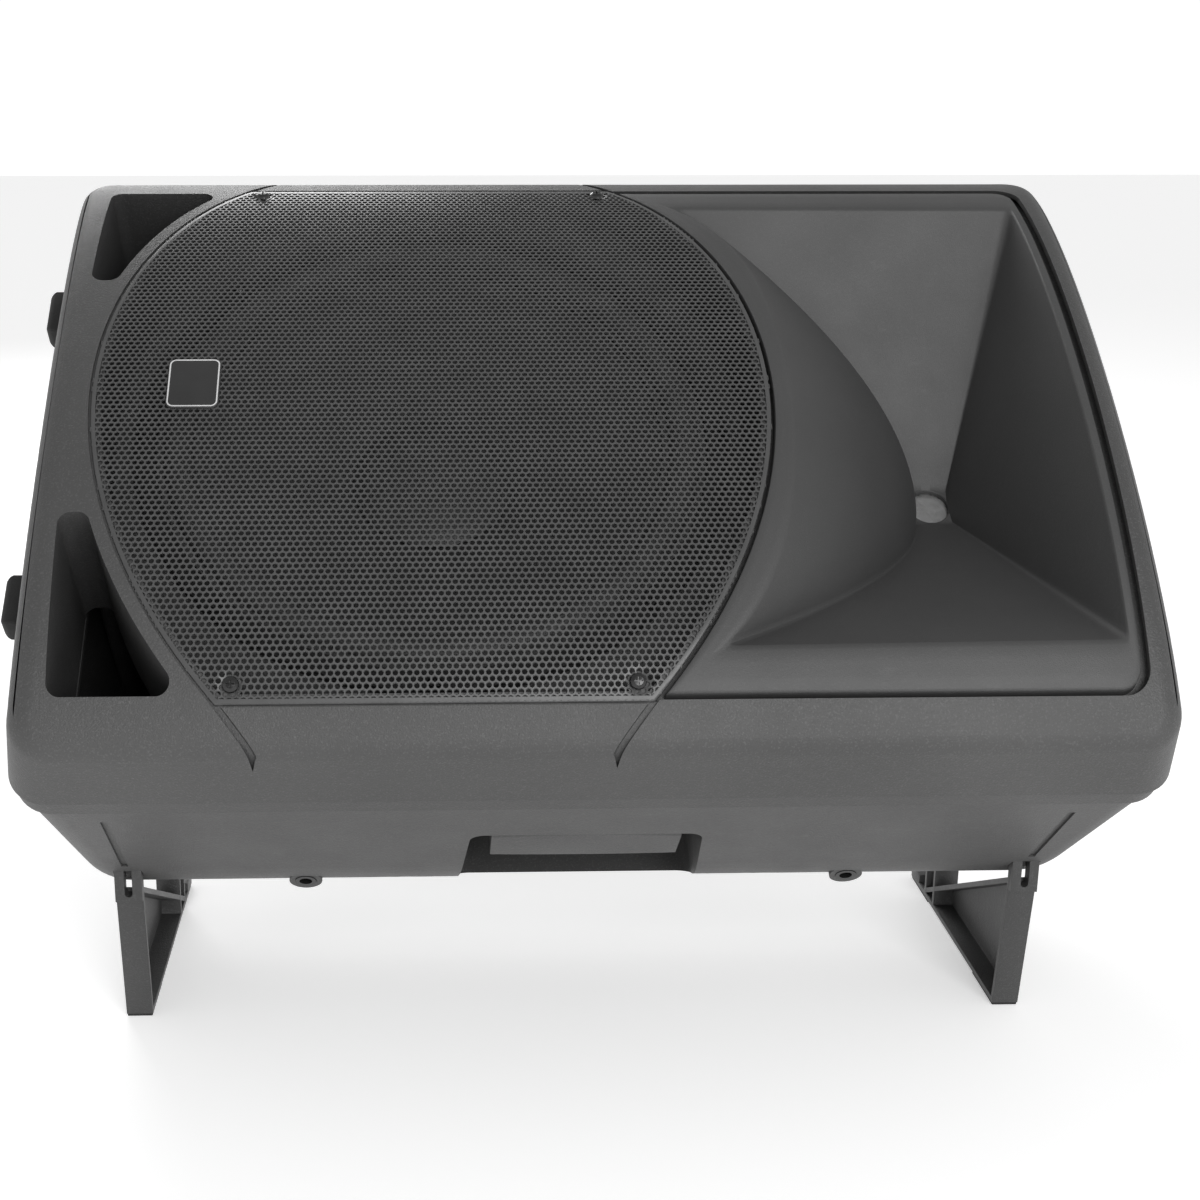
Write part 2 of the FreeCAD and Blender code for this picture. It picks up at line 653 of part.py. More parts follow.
def side_grooves():
    """Two fine grooves up the lower long side, each ending over a leg."""
    grooves = []
    for end in (-1, 1):
        middle = end * size("leg_x")
        across = (middle - size("groove_half"), middle + size("groove_half"))
        grooves.append(block(across, (-300, 0), (size("shoulder_start_level") + 7, size("groove_start"))))
    return Part.makeCompound(grooves).cut(rear_block(size("groove_depth")))


def parting_groove():
    """The fine shadow gap that runs all round, just behind the front shell."""
    seam = size("seam_level")
    depth = size("parting_depth")
    corner = size("plan_corner")
    outside = ring_wire(size("seam_half_length") + 5, size("seam_half_width") + 5, corner, seam)
    kept = ring_wire(size("seam_half_length") - depth, size("seam_half_width") - depth,
                     corner - depth, seam)
    band = prism(outside, seam - size("parting_gap"), seam + 1)
    return band.cut(prism(kept, seam - 5, seam + 2))


def panel_screw_places():
    """Centres of the six screws of the amplifier panel."""
    places = []
    for end in (-1, 0, 1):
        for side in (-1, 1):
            places.append((end * (size("panel_half_length") - 6), side * (size("panel_half_width") - 6)))
    return places


def rear_shell():
    """The moulded rear half, with hand pockets, leg sockets, a pole hole and the amplifier dish."""
    wall = size("wall")
    seam = size("seam_level")
    outer = rear_block()
    shell = outer.cut(rear_block(wall))
    lining = []
    for solid in sides(pocket_prism(wall)):
        lining.append(solid.common(outer))
    lining.append(leg_sockets(size("leg_play") + wall * 0.7).common(outer))
    back = size("heel_end_level")
    dish_top = back + size("dish_depth")
    dish_out = ring_wire(size("dish_half_length") + wall, size("dish_half_width") + wall,
                         size("dish_corner"), back)
    lining.append(prism(dish_out, back, dish_top + wall).common(outer))
    face_x = -size("pole_face_x")
    pole = (face_x, 0, size("pole_level"))
    lining.append(rod(size("pole_flange") + 6, (-360, 0, pole[2]), (1, 0, 0), 360 + face_x + 4).common(outer))
    for x, y in boss_places():
        lining.append(rod(size("boss_radius"), (x, y, back), (0, 0, 1), seam - back).common(outer))
    rim = ring_wire(size("seam_half_length") - 1, size("seam_half_width") - 1, size("plan_corner"), seam)
    rim_hole = ring_wire(size("flare_half_length") - size("rim_width"),
                         size("flare_half_width") - size("rim_width"), size("plan_corner") - 8, seam)
    lining.append(prism(rim, seam - 5, seam).cut(prism(rim_hole, seam - 6, seam + 1)).common(outer))
    fly = []
    for end in (-1, 1):
        level = size("fly_level")
        fly.append(rod(size("fly_radius"), (end * size("fly_x"), 195, level), (0, 1, 0), 25.5))
    fly_bosses = [boss for solid in fly for boss in sides(solid)]
    shell = shell.fuse(lining + fly_bosses)

    removed = sides(pocket_prism(0))
    removed.append(leg_sockets(size("leg_play")))
    removed.append(side_grooves())
    dish_in = ring_wire(size("dish_half_length"), size("dish_half_width"), size("dish_corner") - 4, back)
    removed.append(prism(dish_in, back - 5, dish_top))
    window = ring_wire(size("dish_half_length") - 14, size("dish_half_width") - 14, 6, back)
    removed.append(prism(window, dish_top - 1, dish_top + 30))
    removed.append(rod(size("pole_flange") + 0.4, (-400, 0, pole[2]), (1, 0, 0), 400 + face_x))
    removed.append(rod(size("pole_radius_inner") + size("pole_tube") + 0.3, pole, (1, 0, 0), 20))
    for x, y in boss_places():
        removed.append(rod(size("boss_bore"), (x, y, back - 5), (0, 0, 1), size("boss_floor") - back + 5))
        removed.append(rod(2.6, (x, y, back), (0, 0, 1), seam - back + 1))
    for end in (-1, 1):
        level = size("fly_level")
        hole = rod(7.2, (end * size("fly_x"), 190, level), (0, 1, 0), 60)
        removed.extend(sides(hole))
    removed.append(parting_groove())
    for x, y in panel_screw_places():
        removed.append(rod(1.8, (x, y, dish_top - 2), (0, 0, 1), 12))
    return shell.cut(removed).removeSplitter()


# ---------------------------------------------------------------- horn


def horn_section(level, grow):
    """The flare's outline at one level: straight long sides, curved ends, sharp corners."""
    depth = size("mouth_level") - size("throat_level")
    fall = (size("mouth_level") - level) / depth
    crown_fall = (size("mouth_crown") - level) / (size("mouth_crown") - size("throat_level"))
    half = size("throat_half")
    throat_left = size("throat_x") - half
    throat_right = size("throat_x") + half
    left_share = 1 - max(0.0, 1 - fall) ** size("left_law")
    middle_share = 1 - max(0.0, 1 - crown_fall) ** size("middle_law")
    left_x = size("mouth_left_x") + (throat_left - size("mouth_left_x")) * left_share
    left_x = left_x - size("left_growth") * grow
    left_y = size("mouth_left_y") + (half - size("mouth_left_y")) * fall + grow
    right_x = size("mouth_right_x") + (throat_right - size("mouth_right_x")) * fall + grow
    right_y = size("mouth_right_y") + (half - size("mouth_right_y")) * fall + grow
    middle_x = size("mouth_middle_x") + (throat_left + 2 - size("mouth_middle_x")) * middle_share
    middle_x = middle_x - size("middle_growth") * grow
    end_x = size("mouth_right_x") + (throat_right - 1 - size("mouth_right_x")) * crown_fall + grow
    left = Part.Arc(Vector(left_x, -left_y, level), Vector(middle_x, 0, level),
                    Vector(left_x, left_y, level)).toShape()
    top = Part.makeLine(Vector(left_x, left_y, level), Vector(right_x, right_y, level))
    right = Part.Arc(Vector(right_x, right_y, level), Vector(end_x, 0, level),
                     Vector(right_x, -right_y, level)).toShape()
    low = Part.makeLine(Vector(right_x, -right_y, level), Vector(left_x, -left_y, level))
    return Part.Wire([left, top, right, low])


def flare_solid(grow):
    """The space inside the flare, or with growth the space out to its outer skin."""
    top = 42.0
    bottom = size("throat_level") - grow / 2
    steps = 14
    levels = [bottom + (top - bottom) * step / steps for step in range(steps + 1)]
    return Part.makeLoft([horn_section(level, grow) for level in levels], True, True)


def horn_flare():
    """The horn moulding: a bowed flange, four sweeping walls and a throat with its own flange."""
    throat = (size("throat_x"), 0, size("throat_level"))
    skin = front_block(0.4)
    flange = prism(horn_outline(0), -60, 60).common(skin.cut(front_block(size("horn_flange"))))
    shell = flare_solid(size("horn_wall")).common(bow_prism(0.4)).common(prism(horn_outline(-size("flare_clip")), -120, 60))
    solid = flange.fuse(shell)
    neck = size("neck_length")
    solid = solid.fuse(rod(24, throat, (0, 0, -1), neck))
    solid = solid.fuse(rod(size("driver_radius"), (throat[0], 0, throat[2] - neck), (0, 0, 1), 4))
    solid = solid.cut(flare_solid(0))
    return solid.cut(rod(size("throat_radius"), throat, (0, 0, -1), neck + 1)).removeSplitter()


def throat_screen():
    """A thin disc of fine mesh across the throat, in front of the driver."""
    body = add_body("throat_screen", cabinet_pose(size("throat_x")))
    sketch = add_sketch(body, "screen_outline", "XY_Plane", "throat_level - neck_length")
    draw_circle(sketch, "throat_radius - shaft_play")
    pad(body, sketch, "grille_sheet")


def driver_parts():
    """The compression driver: front plate, dome, magnet and rear cap."""
    place = cabinet_pose(size("throat_x"), 0, size("throat_level") - size("neck_length"))
    housing = add_body("driver_housing", place)
    revolve(housing, (
        ("throat_radius", "0"), ("driver_radius", "0"), ("driver_radius", "-driver_plate"),
        ("dome_radius + 4", "-driver_plate"), ("dome_radius + 4", "-dome_rise"),
        ("throat_radius", "-3"),
    ))
    dome = add_body("driver_diaphragm", place)
    revolve(dome, (
        ("0", "-dome_rise + 3"), ("dome_radius * 0.6", "-dome_rise + 1.6"),
        ("dome_radius", "-dome_rise - 1"), ("dome_radius + 3.5", "-dome_rise - 1"),
        ("dome_radius + 3.5", "-dome_rise - 1.6"), ("dome_radius", "-dome_rise - 1.6"),
        ("dome_radius * 0.6", "-dome_rise + 1"), ("0", "-dome_rise + 2.4"),
    ))
    magnet = add_body("driver_magnet", place)
    revolve(magnet, (
        ("dome_radius", "-driver_plate"), ("driver_ring_radius", "-driver_plate"),
        ("driver_ring_radius", "-driver_plate - driver_ring_thick"),
        ("dome_radius", "-driver_plate - driver_ring_thick"),
    ))
    cap = add_body("driver_cap", place)
    revolve(cap, (
        ("0", "-driver_plate - driver_ring_thick"),
        ("driver_cap_radius", "-driver_plate - driver_ring_thick"),
        ("driver_cap_radius", "-driver_plate - driver_ring_thick - driver_cap_depth + 5"),
        ("driver_cap_radius - 5", "-driver_plate - driver_ring_thick - driver_cap_depth"),
        ("0", "-driver_plate - driver_ring_thick - driver_cap_depth"),
    ))


# ---------------------------------------------------------------- woofer


def screw_circle(body, level, depth):
    """Cuts the woofer's screw holes into a flat ring, down from a level."""
    sketch = add_sketch(body, "screw_hole", "XY_Plane", level)
    draw_circle(sketch, "woofer_screw_shank + screw_play", "woofer_screw_circle", "0")
    hole = pocket(body, sketch, depth, "screw_hole_cut")
    pattern = body.newObject("PartDesign::PolarPattern", "screw_holes")
    pattern.Originals = [hole]
    pattern.Axis = (sketch, ["N_Axis"])
    pattern.Angle = 360
    pattern.Occurrences = int(size("woofer_screw_count"))
    body.Tip = pattern


def woofer_basket():
    """The pressed frame: flat rim, sloped wall with six windows, and a cup behind the spider."""
    body = add_body("woofer_basket", cabinet_pose(size("woofer_x")))
    revolve(body, (
        ("surround_outer - 1", "baffle_level + frame_plate"),
        ("frame_radius", "baffle_level + frame_plate"), ("frame_radius", "baffle_level"),
        ("surround_outer + 2", "baffle_level"), ("basket_foot + 3", "basket_foot_level"),
        ("basket_foot + 3", "basket_back"), ("plate_hole + 8", "basket_back"),
        ("plate_hole + 8", "basket_back + basket_skin"), ("basket_foot", "basket_back + basket_skin"),
        ("basket_foot", "spider_level"), ("surround_outer - 1", "baffle_level - 1"),
    ))
    sketch = add_sketch(body, "basket_window", "XY_Plane", "baffle_level - 3")
    draw_polygon(sketch, (
        ("basket_foot + 16", "-26"), ("surround_outer - 10", "-50"),
        ("surround_outer - 10", "50"), ("basket_foot + 16", "26"),
    ))
    window = pocket(body, sketch, "basket_skin + 90", "window")
    pattern = body.newObject("PartDesign::PolarPattern", "basket_windows")
    pattern.Originals = [window]
    pattern.Axis = (sketch, ["N_Axis"])
    pattern.Angle = 360
    pattern.Occurrences = 6
    body.Tip = pattern
    screw_circle(body, "baffle_level + frame_plate", "frame_plate + 1")


def woofer_ring(label, points):
    """One turned piece on the woofer's axis."""
    body = add_body(label, cabinet_pose(size("woofer_x")))
    revolve(body, points)
    return body


def roll_points(inner, outer, level, rise, skin, count=8):
    """Section of a half-round roll between two flat lips, as rules."""
    centre = f"({inner} + {outer}) / 2"
    half = f"({outer} - {inner} - 8) / 2"
    upper = []
    lower = []
    for step in range(count + 1):
        angle = math.pi * step / count
        across = round(-math.cos(angle), 4)
        up = round(math.sin(angle), 4)
        upper.append((f"{centre} + {half} * {across}", f"{level} + {skin} + {rise} * {up}"))
        lower.append((f"{centre} + ({half} - {skin}) * {across}", f"{level} + {rise} * {up}"))
    start = [(inner, f"{level}"), (inner, f"{level} + {skin}")]
    finish = [(outer, f"{level} + {skin}"), (outer, f"{level}")]
    return start + upper + finish + list(reversed(lower))


def woofer_parts():
    """Everything on the woofer's axis except the basket."""
    frame_top = "baffle_level + frame_plate"
    gasket = woofer_ring("woofer_gasket", (
        ("surround_outer + 1", frame_top), ("frame_radius - 1", frame_top),
        ("frame_radius - 1", f"{frame_top} + gasket_plate - 1"),
        ("frame_radius - 3", f"{frame_top} + gasket_plate"),
        ("surround_outer + 1", f"{frame_top} + gasket_plate"),
    ))
    screw_circle(gasket, frame_top + " + gasket_plate", "gasket_plate + 1")
    woofer_ring("woofer_surround", roll_points(
        "surround_inner", "surround_outer", frame_top + " + 0.1", "surround_rise", "surround_skin"))
    woofer_ring("woofer_cone", (
        ("cone_radius", "cone_level"), ("cone_radius", "cone_level + cone_skin"),
        ("cone_radius - 4", "cone_level + cone_skin"), ("neck_radius + 40", "neck_level + 25"),
        ("neck_radius", "neck_level + cone_skin"), ("neck_radius", "neck_level"),
        ("neck_radius + 40", "neck_level + 25 - cone_skin"), ("cone_radius - 3", "cone_level"),
    ))
    cap = [("0", "neck_level + 16 + cap_rise"), ("cap_radius * 0.5", "neck_level + 16 + cap_rise * 0.78"),
           ("cap_radius * 0.85", "neck_level + 16 + cap_rise * 0.3"), ("cap_radius", "neck_level + 15"),
           ("cap_radius - 2", "neck_level + 14"), ("cap_radius * 0.82", "neck_level + 15 + cap_rise * 0.3"),
           ("cap_radius * 0.48", "neck_level + 15 + cap_rise * 0.78"), ("0", "neck_level + 15 + cap_rise")]
    woofer_ring("woofer_dust_cap", cap)
    woofer_ring("voice_coil", (
        ("coil_inner", "neck_level + 4"), ("coil_inner + coil_skin", "neck_level + 4"),
        ("coil_inner + coil_skin", "coil_bottom + 18"),
        ("coil_inner + coil_skin + 0.9", "coil_bottom + 18"),
        ("coil_inner + coil_skin + 0.9", "coil_bottom"), ("coil_inner", "coil_bottom"),
    ))
    woofer_ring("woofer_spider", (
        ("neck_radius + 0.6", "spider_level"), ("neck_radius + 12", "spider_level + 2.5"),
        ("neck_radius + 22", "spider_level - 1.5"), ("neck_radius + 34", "spider_level + 2.5"),
        ("spider_radius", "spider_level"), ("basket_foot - 0.2", "spider_level"),
        ("basket_foot - 0.2", "spider_level + spider_skin"), ("spider_radius", "spider_level + spider_skin"),
        ("neck_radius + 34", "spider_level + spider_skin + 2.5"),
        ("neck_radius + 22", "spider_level + spider_skin - 1.5"),
        ("neck_radius + 12", "spider_level + spider_skin + 2.5"),
        ("neck_radius + 0.6", "spider_level + spider_skin"),
    ))
    plate_back = "basket_back - plate_thick"
    ring_back = "basket_back - plate_thick - ring_thick"
    woofer_ring("woofer_top_plate", (
        ("plate_hole + 1", "basket_back"), ("plate_radius", "basket_back"),
        ("plate_radius", plate_back), ("plate_hole + 1", plate_back),
    ))
    woofer_ring("woofer_magnet", (
        ("ring_hole", plate_back), ("ring_radius", plate_back),
        ("ring_radius", ring_back), ("ring_hole", ring_back),
    ))
    woofer_ring("woofer_yoke", (
        ("pole_vent", "basket_back"), ("pole_radius", "basket_back"), ("pole_radius", ring_back),
        ("plate_radius", ring_back), ("plate_radius", f"{ring_back} - yoke_thick + 3"),
        ("plate_radius - 3", f"{ring_back} - yoke_thick"), ("pole_vent", f"{ring_back} - yoke_thick"),
    ))


# ---------------------------------------------------------------- fasteners and trim


def pan_screw(head, height, shank, length):
    """A pan-head screw with a cross recess: the head stands on z = 0, the shank hangs below it."""
    profile = [
        Vector(0, 0, height), Vector(head * 0.55, 0, height * 0.92), Vector(head * 0.9, 0, height * 0.5),
        Vector(head, 0, 0), Vector(shank, 0, 0), Vector(shank, 0, 1 - length),
        Vector(0, 0, -length),
    ]
    face = Part.Face(Part.makePolygon(profile + profile[:1]))
    screw = face.revolve(Vector(0, 0, 0), Vector(0, 0, 1), 360)
    deep = height * 0.55
    bar = block((-head * 0.5, head * 0.5), (-head * 0.1, head * 0.1), (height - deep, height + 1))
    cross = block((-head * 0.1, head * 0.1), (-head * 0.5, head * 0.5), (height - deep, height + 1))
    return screw.cut([bar, cross])


def grille_screws():
    """Four pan-head screws that hold the grille."""
    screws = []
    for x, y in grille_screw_places():
        screw = pan_screw(5.0, 3.0, size("grille_screw_shank"), size("grille_screw_length"))
        tilt = Rotation(Vector(0, 0, 1), bow_normal(y))
        screw.Placement = Placement(Vector(x, y, bow(y)), tilt)
        screws.append(screw)
    add_piece("grille_screws", Part.makeCompound(screws), cabinet_pose())


def woofer_screws():
    """Screws round the woofer's rim."""
    screws = []
    level = size("baffle_level") + size("frame_plate") + size("gasket_plate")
    for x, y in woofer_screw_places():
        screw = pan_screw(4.6, 3.4, size("woofer_screw_shank"), 11.0)
        screw.translate(Vector(x, y, level))
        screws.append(screw)
    add_piece("woofer_screws", Part.makeCompound(screws), cabinet_pose(size("woofer_x")))


def shell_screws():
    """Long screws in the deep bosses, driven from behind."""
    screws = []
    for x, y in boss_places():
        screw = pan_screw(5.2, 3.6, 2.0, 96.0)
        screw.rotate(Vector(0, 0, 0), Vector(1, 0, 0), 180)
        screw.translate(Vector(x, y, size("boss_floor")))
        screws.append(screw)
    add_piece("shell_screws", Part.makeCompound(screws), cabinet_pose())


def panel_screws():
    """Six screws that hold the amplifier panel in its dish."""
    screws = []
    level = size("heel_end_level") + size("dish_depth") - size("panel_plate")
    for x, y in panel_screw_places():
        screw = pan_screw(3.6, 2.4, 1.7, 10.0)
        screw.rotate(Vector(0, 0, 0), Vector(1, 0, 0), 180)
        screw.translate(Vector(x, y, level))
        screws.append(screw)
    add_piece("panel_screws", Part.makeCompound(screws), cabinet_pose())


def grille():
    """The bowed steel sheet that covers the woofer's well."""
    bend = bow_prism(0.2).cut(bow_prism(0.2 + size("grille_sheet")))
    plate = prism(grille_outline(0), -60, 60).common(bend)
    hole = size("grille_screw_shank") + 0.9
    holes = [rod(hole, (x, y, -20), (0, 0, 1), 60) for x, y in grille_screw_places()]
    add_piece("grille", plate.cut(holes), cabinet_pose())


def badge():
    """A blank plate with round corners, fixed to the grille."""
    outline = ring_wire(size("badge_length") / 2, size("badge_width") / 2, size("badge_corner"), 0)
    outline.translate(Vector(size("badge_x"), 0, 0))
    slab = prism(outline, 0, 60)
    plate = slab.common(bow_prism(-size("badge_plate"))).cut(bow_prism(0.2))
    add_piece("badge", plate, cabinet_pose())


def shell_seal():
    """The sealing ring between the shells."""
    add_piece("shell_seal", seal_ring(0, 2.0), cabinet_pose())


def handle_grips():
    """A barrelled grip at the mouth of each hand pocket."""
    half = size("grip_half")
    front = size("pocket_front")
    grip = block((-half, half), (200, 250), (front - size("grip_depth"), front))
    grip = grip.common(rear_block(-0.5)).cut(rear_block(size("grip_thick")))
    edges = [edge for edge in grip.Edges if abs(edge.tangentAt(edge.FirstParameter).x) > 0.9]
    rear = [edge for edge in edges if edge.CenterOfMass.z < front - size("grip_depth") + 2]
    grip = grip.makeFillet(6.0, rear)
    upper, lower = sides(grip)
    add_piece("handle_grip_upper", upper, cabinet_pose())
    add_piece("handle_grip_lower", lower, cabinet_pose())


def fly_points():
    """Four threaded steel inserts in the long sides."""
    inserts = []
    for end in (-1, 1):
        centre = (end * size("fly_x"), 196, size("fly_level"))
        insert = rod(7.0, centre, (0, 1, 0), 25).cut(rod(size("fly_bore"), centre, (0, 1, 0), 40))
        inserts.extend(sides(insert))
    add_piece("fly_points", Part.makeCompound(inserts), cabinet_pose())


def pole_socket():
    """A flanged cup in the bottom end for a 35 mm stand pole."""
    turn = Rotation(Vector(0, 1, 0), -90)
    place = cabinet_pose(-size("pole_face_x"), 0, size("pole_level"))
    body = add_body("pole_socket", place.multiply(Placement(Vector(), turn)))
    revolve(body, (
        ("pole_radius_inner", "pole_plate"), ("pole_flange", "pole_plate"), ("pole_flange", "0"),
        ("pole_radius_inner + pole_tube", "0"),
        ("pole_radius_inner + pole_tube", "pole_plate - pole_length - pole_tube"),
        ("0", "pole_plate - pole_length - pole_tube"), ("0", "pole_plate - pole_length"),
        ("pole_radius_inner", "pole_plate - pole_length"),
    ))


def rubber_feet():
    """Four feet on the bottom end, cut to the slope of the wall that they are fixed to."""
    feet = []
    for level in (size("foot_front"), size("foot_rear")):
        for side in (-1, 1):
            half_y = size("foot_length") / 2
            half_z = size("foot_width") / 2
            foot = block((-size("foot_x"), -300), (-half_y, half_y), (-half_z, half_z))
            outer = [edge for edge in foot.Edges if abs(edge.CenterOfMass.x + size("foot_x")) < 0.1]
            foot = foot.makeChamfer(3.0, outer)
            foot.translate(Vector(0, side * size("foot_y"), level))
            feet.append(foot.cut([front_block(), rear_block()]))
    add_piece("rubber_feet", Part.makeCompound(feet), cabinet_pose())


# ---------------------------------------------------------------- amplifier


def panel_level():
    """The level of the amplifier panel's outer face."""
    return size("heel_end_level") + size("dish_depth") - size("panel_plate")


def knob_places():
    """Names and centres of the three rotary controls."""
    names = ("level", "treble", "bass")
    return [(name, size("knob_x") + index * size("knob_pitch")) for index, name in enumerate(names)]


def amp_panel():
    """The flat metal panel with holes for its controls and sockets."""
    body = add_body("amp_panel", cabinet_pose())
    sketch = add_sketch(body, "panel_outline", "XY_Plane", "heel_end_level + dish_depth - panel_plate")
    draw_polygon(sketch, (
        ("-panel_half_length", "-panel_half_width"), ("panel_half_length", "-panel_half_width"),
        ("panel_half_length", "panel_half_width"), ("-panel_half_length", "panel_half_width"),
    ))
    pad(body, sketch, "panel_plate")
    holes = add_sketch(body, "panel_holes", "XY_Plane", "heel_end_level + dish_depth")
    for index in range(3):
        x = f"knob_x + {index} * knob_pitch"
        draw_circle(holes, "shaft_radius + 1", x, "knob_row_y")
        draw_circle(holes, "socket_bore + 1", x, "socket_row_y")
    for x in ("-panel_half_length + 6", "0", "panel_half_length - 6"):
        for y in ("-panel_half_width + 6", "panel_half_width - 6"):
            draw_circle(holes, "1.9", x, y)
    pocket(body, holes, "panel_plate + 1", "holes")
    windows = add_sketch(body, "panel_windows", "XY_Plane", "heel_end_level + dish_depth")
    draw_polygon(windows, window_corners("inlet"))
    draw_polygon_offset(windows, window_corners("switch"))
    pocket(body, windows, "panel_plate + 1", "windows")


def window_corners(part):
    """Corners of the panel's cut-out for the inlet or the switch, 2 mm inside their flanges."""
    low_x = f"{part}_x - {part}_length / 2 + 2"
    high_x = f"{part}_x + {part}_length / 2 - 2"
    low_y = f"{part}_y - {part}_width / 2 + 2"
    high_y = f"{part}_y + {part}_width / 2 - 2"
    return ((low_x, low_y), (high_x, low_y), (high_x, high_y), (low_x, high_y))


def draw_polygon_offset(sketch, points):
    """A second closed outline in a sketch that already holds one."""
    first = sketch.GeometryCount
    corners = [Vector(evaluate(across), evaluate(along), 0) for across, along in points]
    count = len(corners)
    for index in range(count):
        sketch.addGeometry(Part.LineSegment(corners[index], corners[(index + 1) % count]), False)
    for index in range(count):
        following = first + (index + 1) % count
        sketch.addConstraint(Sketcher.Constraint("Coincident", first + index, 2, following, 1))
    for index, (across, along) in enumerate(points):
        pin(sketch, first + index, 1, "DistanceX", across)
        pin(sketch, first + index, 1, "DistanceY", along)


def heat_sink():
    """A finned aluminium block bolted to the panel's outer face."""
    body = add_body("heat_sink", cabinet_pose(size("sink_x"), 0, 0))
    base = add_sketch(body, "sink_outline", "XY_Plane", "heel_end_level + dish_depth - panel_plate - sink_base")
    draw_polygon(base, (
        ("-sink_half_length", "-sink_half_width"), ("sink_half_length", "-sink_half_width"),
        ("sink_half_length", "sink_half_width"), ("-sink_half_length", "sink_half_width"),
    ))
    pad(body, base, "sink_base")
    fin = add_sketch(body, "fin_outline", "XY_Plane",
                     "heel_end_level + dish_depth - panel_plate - sink_base - fin_height")
    draw_polygon(fin, (
        ("-sink_half_length", "-sink_half_width"), ("-sink_half_length + fin_thick", "-sink_half_width"),
        ("-sink_half_length + fin_thick", "sink_half_width"), ("-sink_half_length", "sink_half_width"),
    ))
    first = pad(body, fin, "fin_height + 0.5", "fin")
    pattern = body.newObject("PartDesign::LinearPattern", "fins")
    pattern.Originals = [first]
    pattern.Direction = (fin, ["H_Axis"])
    pattern.setExpression("Length", bind("fin_pitch * (fin_count - 1)"))
    pattern.Occurrences = int(size("fin_count"))
    body.Tip = pattern


def controls():
    """Three potentiometers behind the panel and a knob on each shaft."""
    outer = panel_level()
    cans = []
    for name, x in knob_places():
        y = size("knob_row_y")
        can = block((x - 8, x + 8), (y - 9, y + 9), (outer + size("panel_plate"), outer + 13))
        shaft = rod(size("shaft_radius"), (x, y, outer + 6), (0, 0, -1), 6 + size("shaft_length"))
        cans.append(can.fuse(shaft))
        body = add_body(f"knob_{name}", cabinet_pose(x, y, outer))
        revolve(body, (
            ("shaft_radius + shaft_play", "-knob_gap"), ("knob_radius + 1.5", "-knob_gap"),
            ("knob_radius + 1.5", "-knob_gap - 1.5"), ("knob_radius", "-knob_gap - 2.5"),
            ("knob_radius - 1", "-knob_depth + 1"), ("knob_radius - 2", "-knob_depth"),
            ("0", "-knob_depth"), ("0", "-shaft_length - 0.3"),
            ("shaft_radius + shaft_play", "-shaft_length - 0.3"),
        ))
        mark = add_sketch(body, f"{name}_mark", "XY_Plane", "-knob_depth + 0.7")
        draw_polygon(mark, (("-0.7", "2"), ("0.7", "2"), ("0.7", "knob_radius + 1"),
                            ("-0.7", "knob_radius + 1")))
        pocket(body, mark, "3", "mark")
    add_piece("potentiometers", Part.makeCompound(cans), cabinet_pose())


def audio_sockets():
    """Three round balanced sockets, each a flanged tube with a contact block at its bottom."""
    outer = panel_level()
    sockets = []
    for _, x in knob_places():
        y = size("socket_row_y")
        flange = rod(size("socket_radius"), (x, y, outer), (0, 0, -1), 2.0)
        tube = rod(size("socket_bore") + 0.8, (x, y, outer), (0, 0, 1), size("socket_depth"))
        bore = rod(size("socket_bore") - 0.8, (x, y, outer - 3), (0, 0, 1), size("socket_depth") + 1)
        pins = []
        for index in range(3):
            angle = math.radians(90 + 120 * index)
            foot = (x + 4 * math.cos(angle), y + 4 * math.sin(angle), outer + 3)
            pins.append(rod(1.2, foot, (0, 0, 1), size("socket_depth") - 4))
        sockets.append(flange.fuse(tube).cut(bore).fuse(pins))
    add_piece("audio_sockets", Part.makeCompound(sockets), cabinet_pose())


def mains_inlet():
    """A three-pin mains inlet with its flange on the panel."""
    outer = panel_level()
    x = size("inlet_x")
    y = size("inlet_y")
    half_x = size("inlet_length") / 2
    half_y = size("inlet_width") / 2
    flange = block((x - half_x, x + half_x), (y - half_y, y + half_y), (outer - 2.5, outer))
    can = block((x - half_x + 2.2, x + half_x - 2.2), (y - half_y + 2.2, y + half_y - 2.2),
                (outer, outer + 22))
    recess = block((x - 13, x + 13), (y - 8, y + 8), (outer - 3, outer + 17))
    pins = []
    for index in (-1, 0, 1):
        px = x + 7 * index
        py = y + 2 * (1 - abs(index))
        pins.append(block((px - 1, px + 1), (py - 2.5, py + 2.5), (outer + 3, outer + 18)))
    add_piece("mains_inlet", flange.fuse(can).cut(recess).fuse(pins), cabinet_pose())


def power_switch():
    """A rocker switch: a fixed frame and the rocker that tips in it."""
    outer = panel_level()
    x = size("switch_x")
    y = size("switch_y")
    half_x = size("switch_length") / 2
    half_y = size("switch_width") / 2
    flange = block((x - half_x, x + half_x), (y - half_y, y + half_y), (outer - 2, outer))
    can = block((x - half_x + 2.2, x + half_x - 2.2), (y - half_y + 2.2, y + half_y - 2.2),
                (outer, outer + 18))
    hollow = block((x - half_x + 4, x + half_x - 4), (y - half_y + 4, y + half_y - 4),
                   (outer - 3, outer + 14))
    add_piece("switch_frame", flange.fuse(can).cut(hollow), cabinet_pose())
    play = size("rocker_play")
    long_half = half_x - 4 - play
    wide_half = half_y - 4 - play
    section = [
        Vector(-long_half + 0.6, 0, -3.2), Vector(0, 0, -1.2), Vector(long_half - 0.6, 0, -3.2),
        Vector(long_half - 1.2, 0, 3), Vector(0, 0, 8), Vector(-long_half + 1.2, 0, 3),
    ]
    face = Part.Face(Part.makePolygon(section + section[:1]))
    face.translate(Vector(0, -wide_half, 0))
    rocker = face.extrude(Vector(0, 2 * wide_half, 0))
    add_piece("power_rocker", rocker, cabinet_pose(x, y, outer))


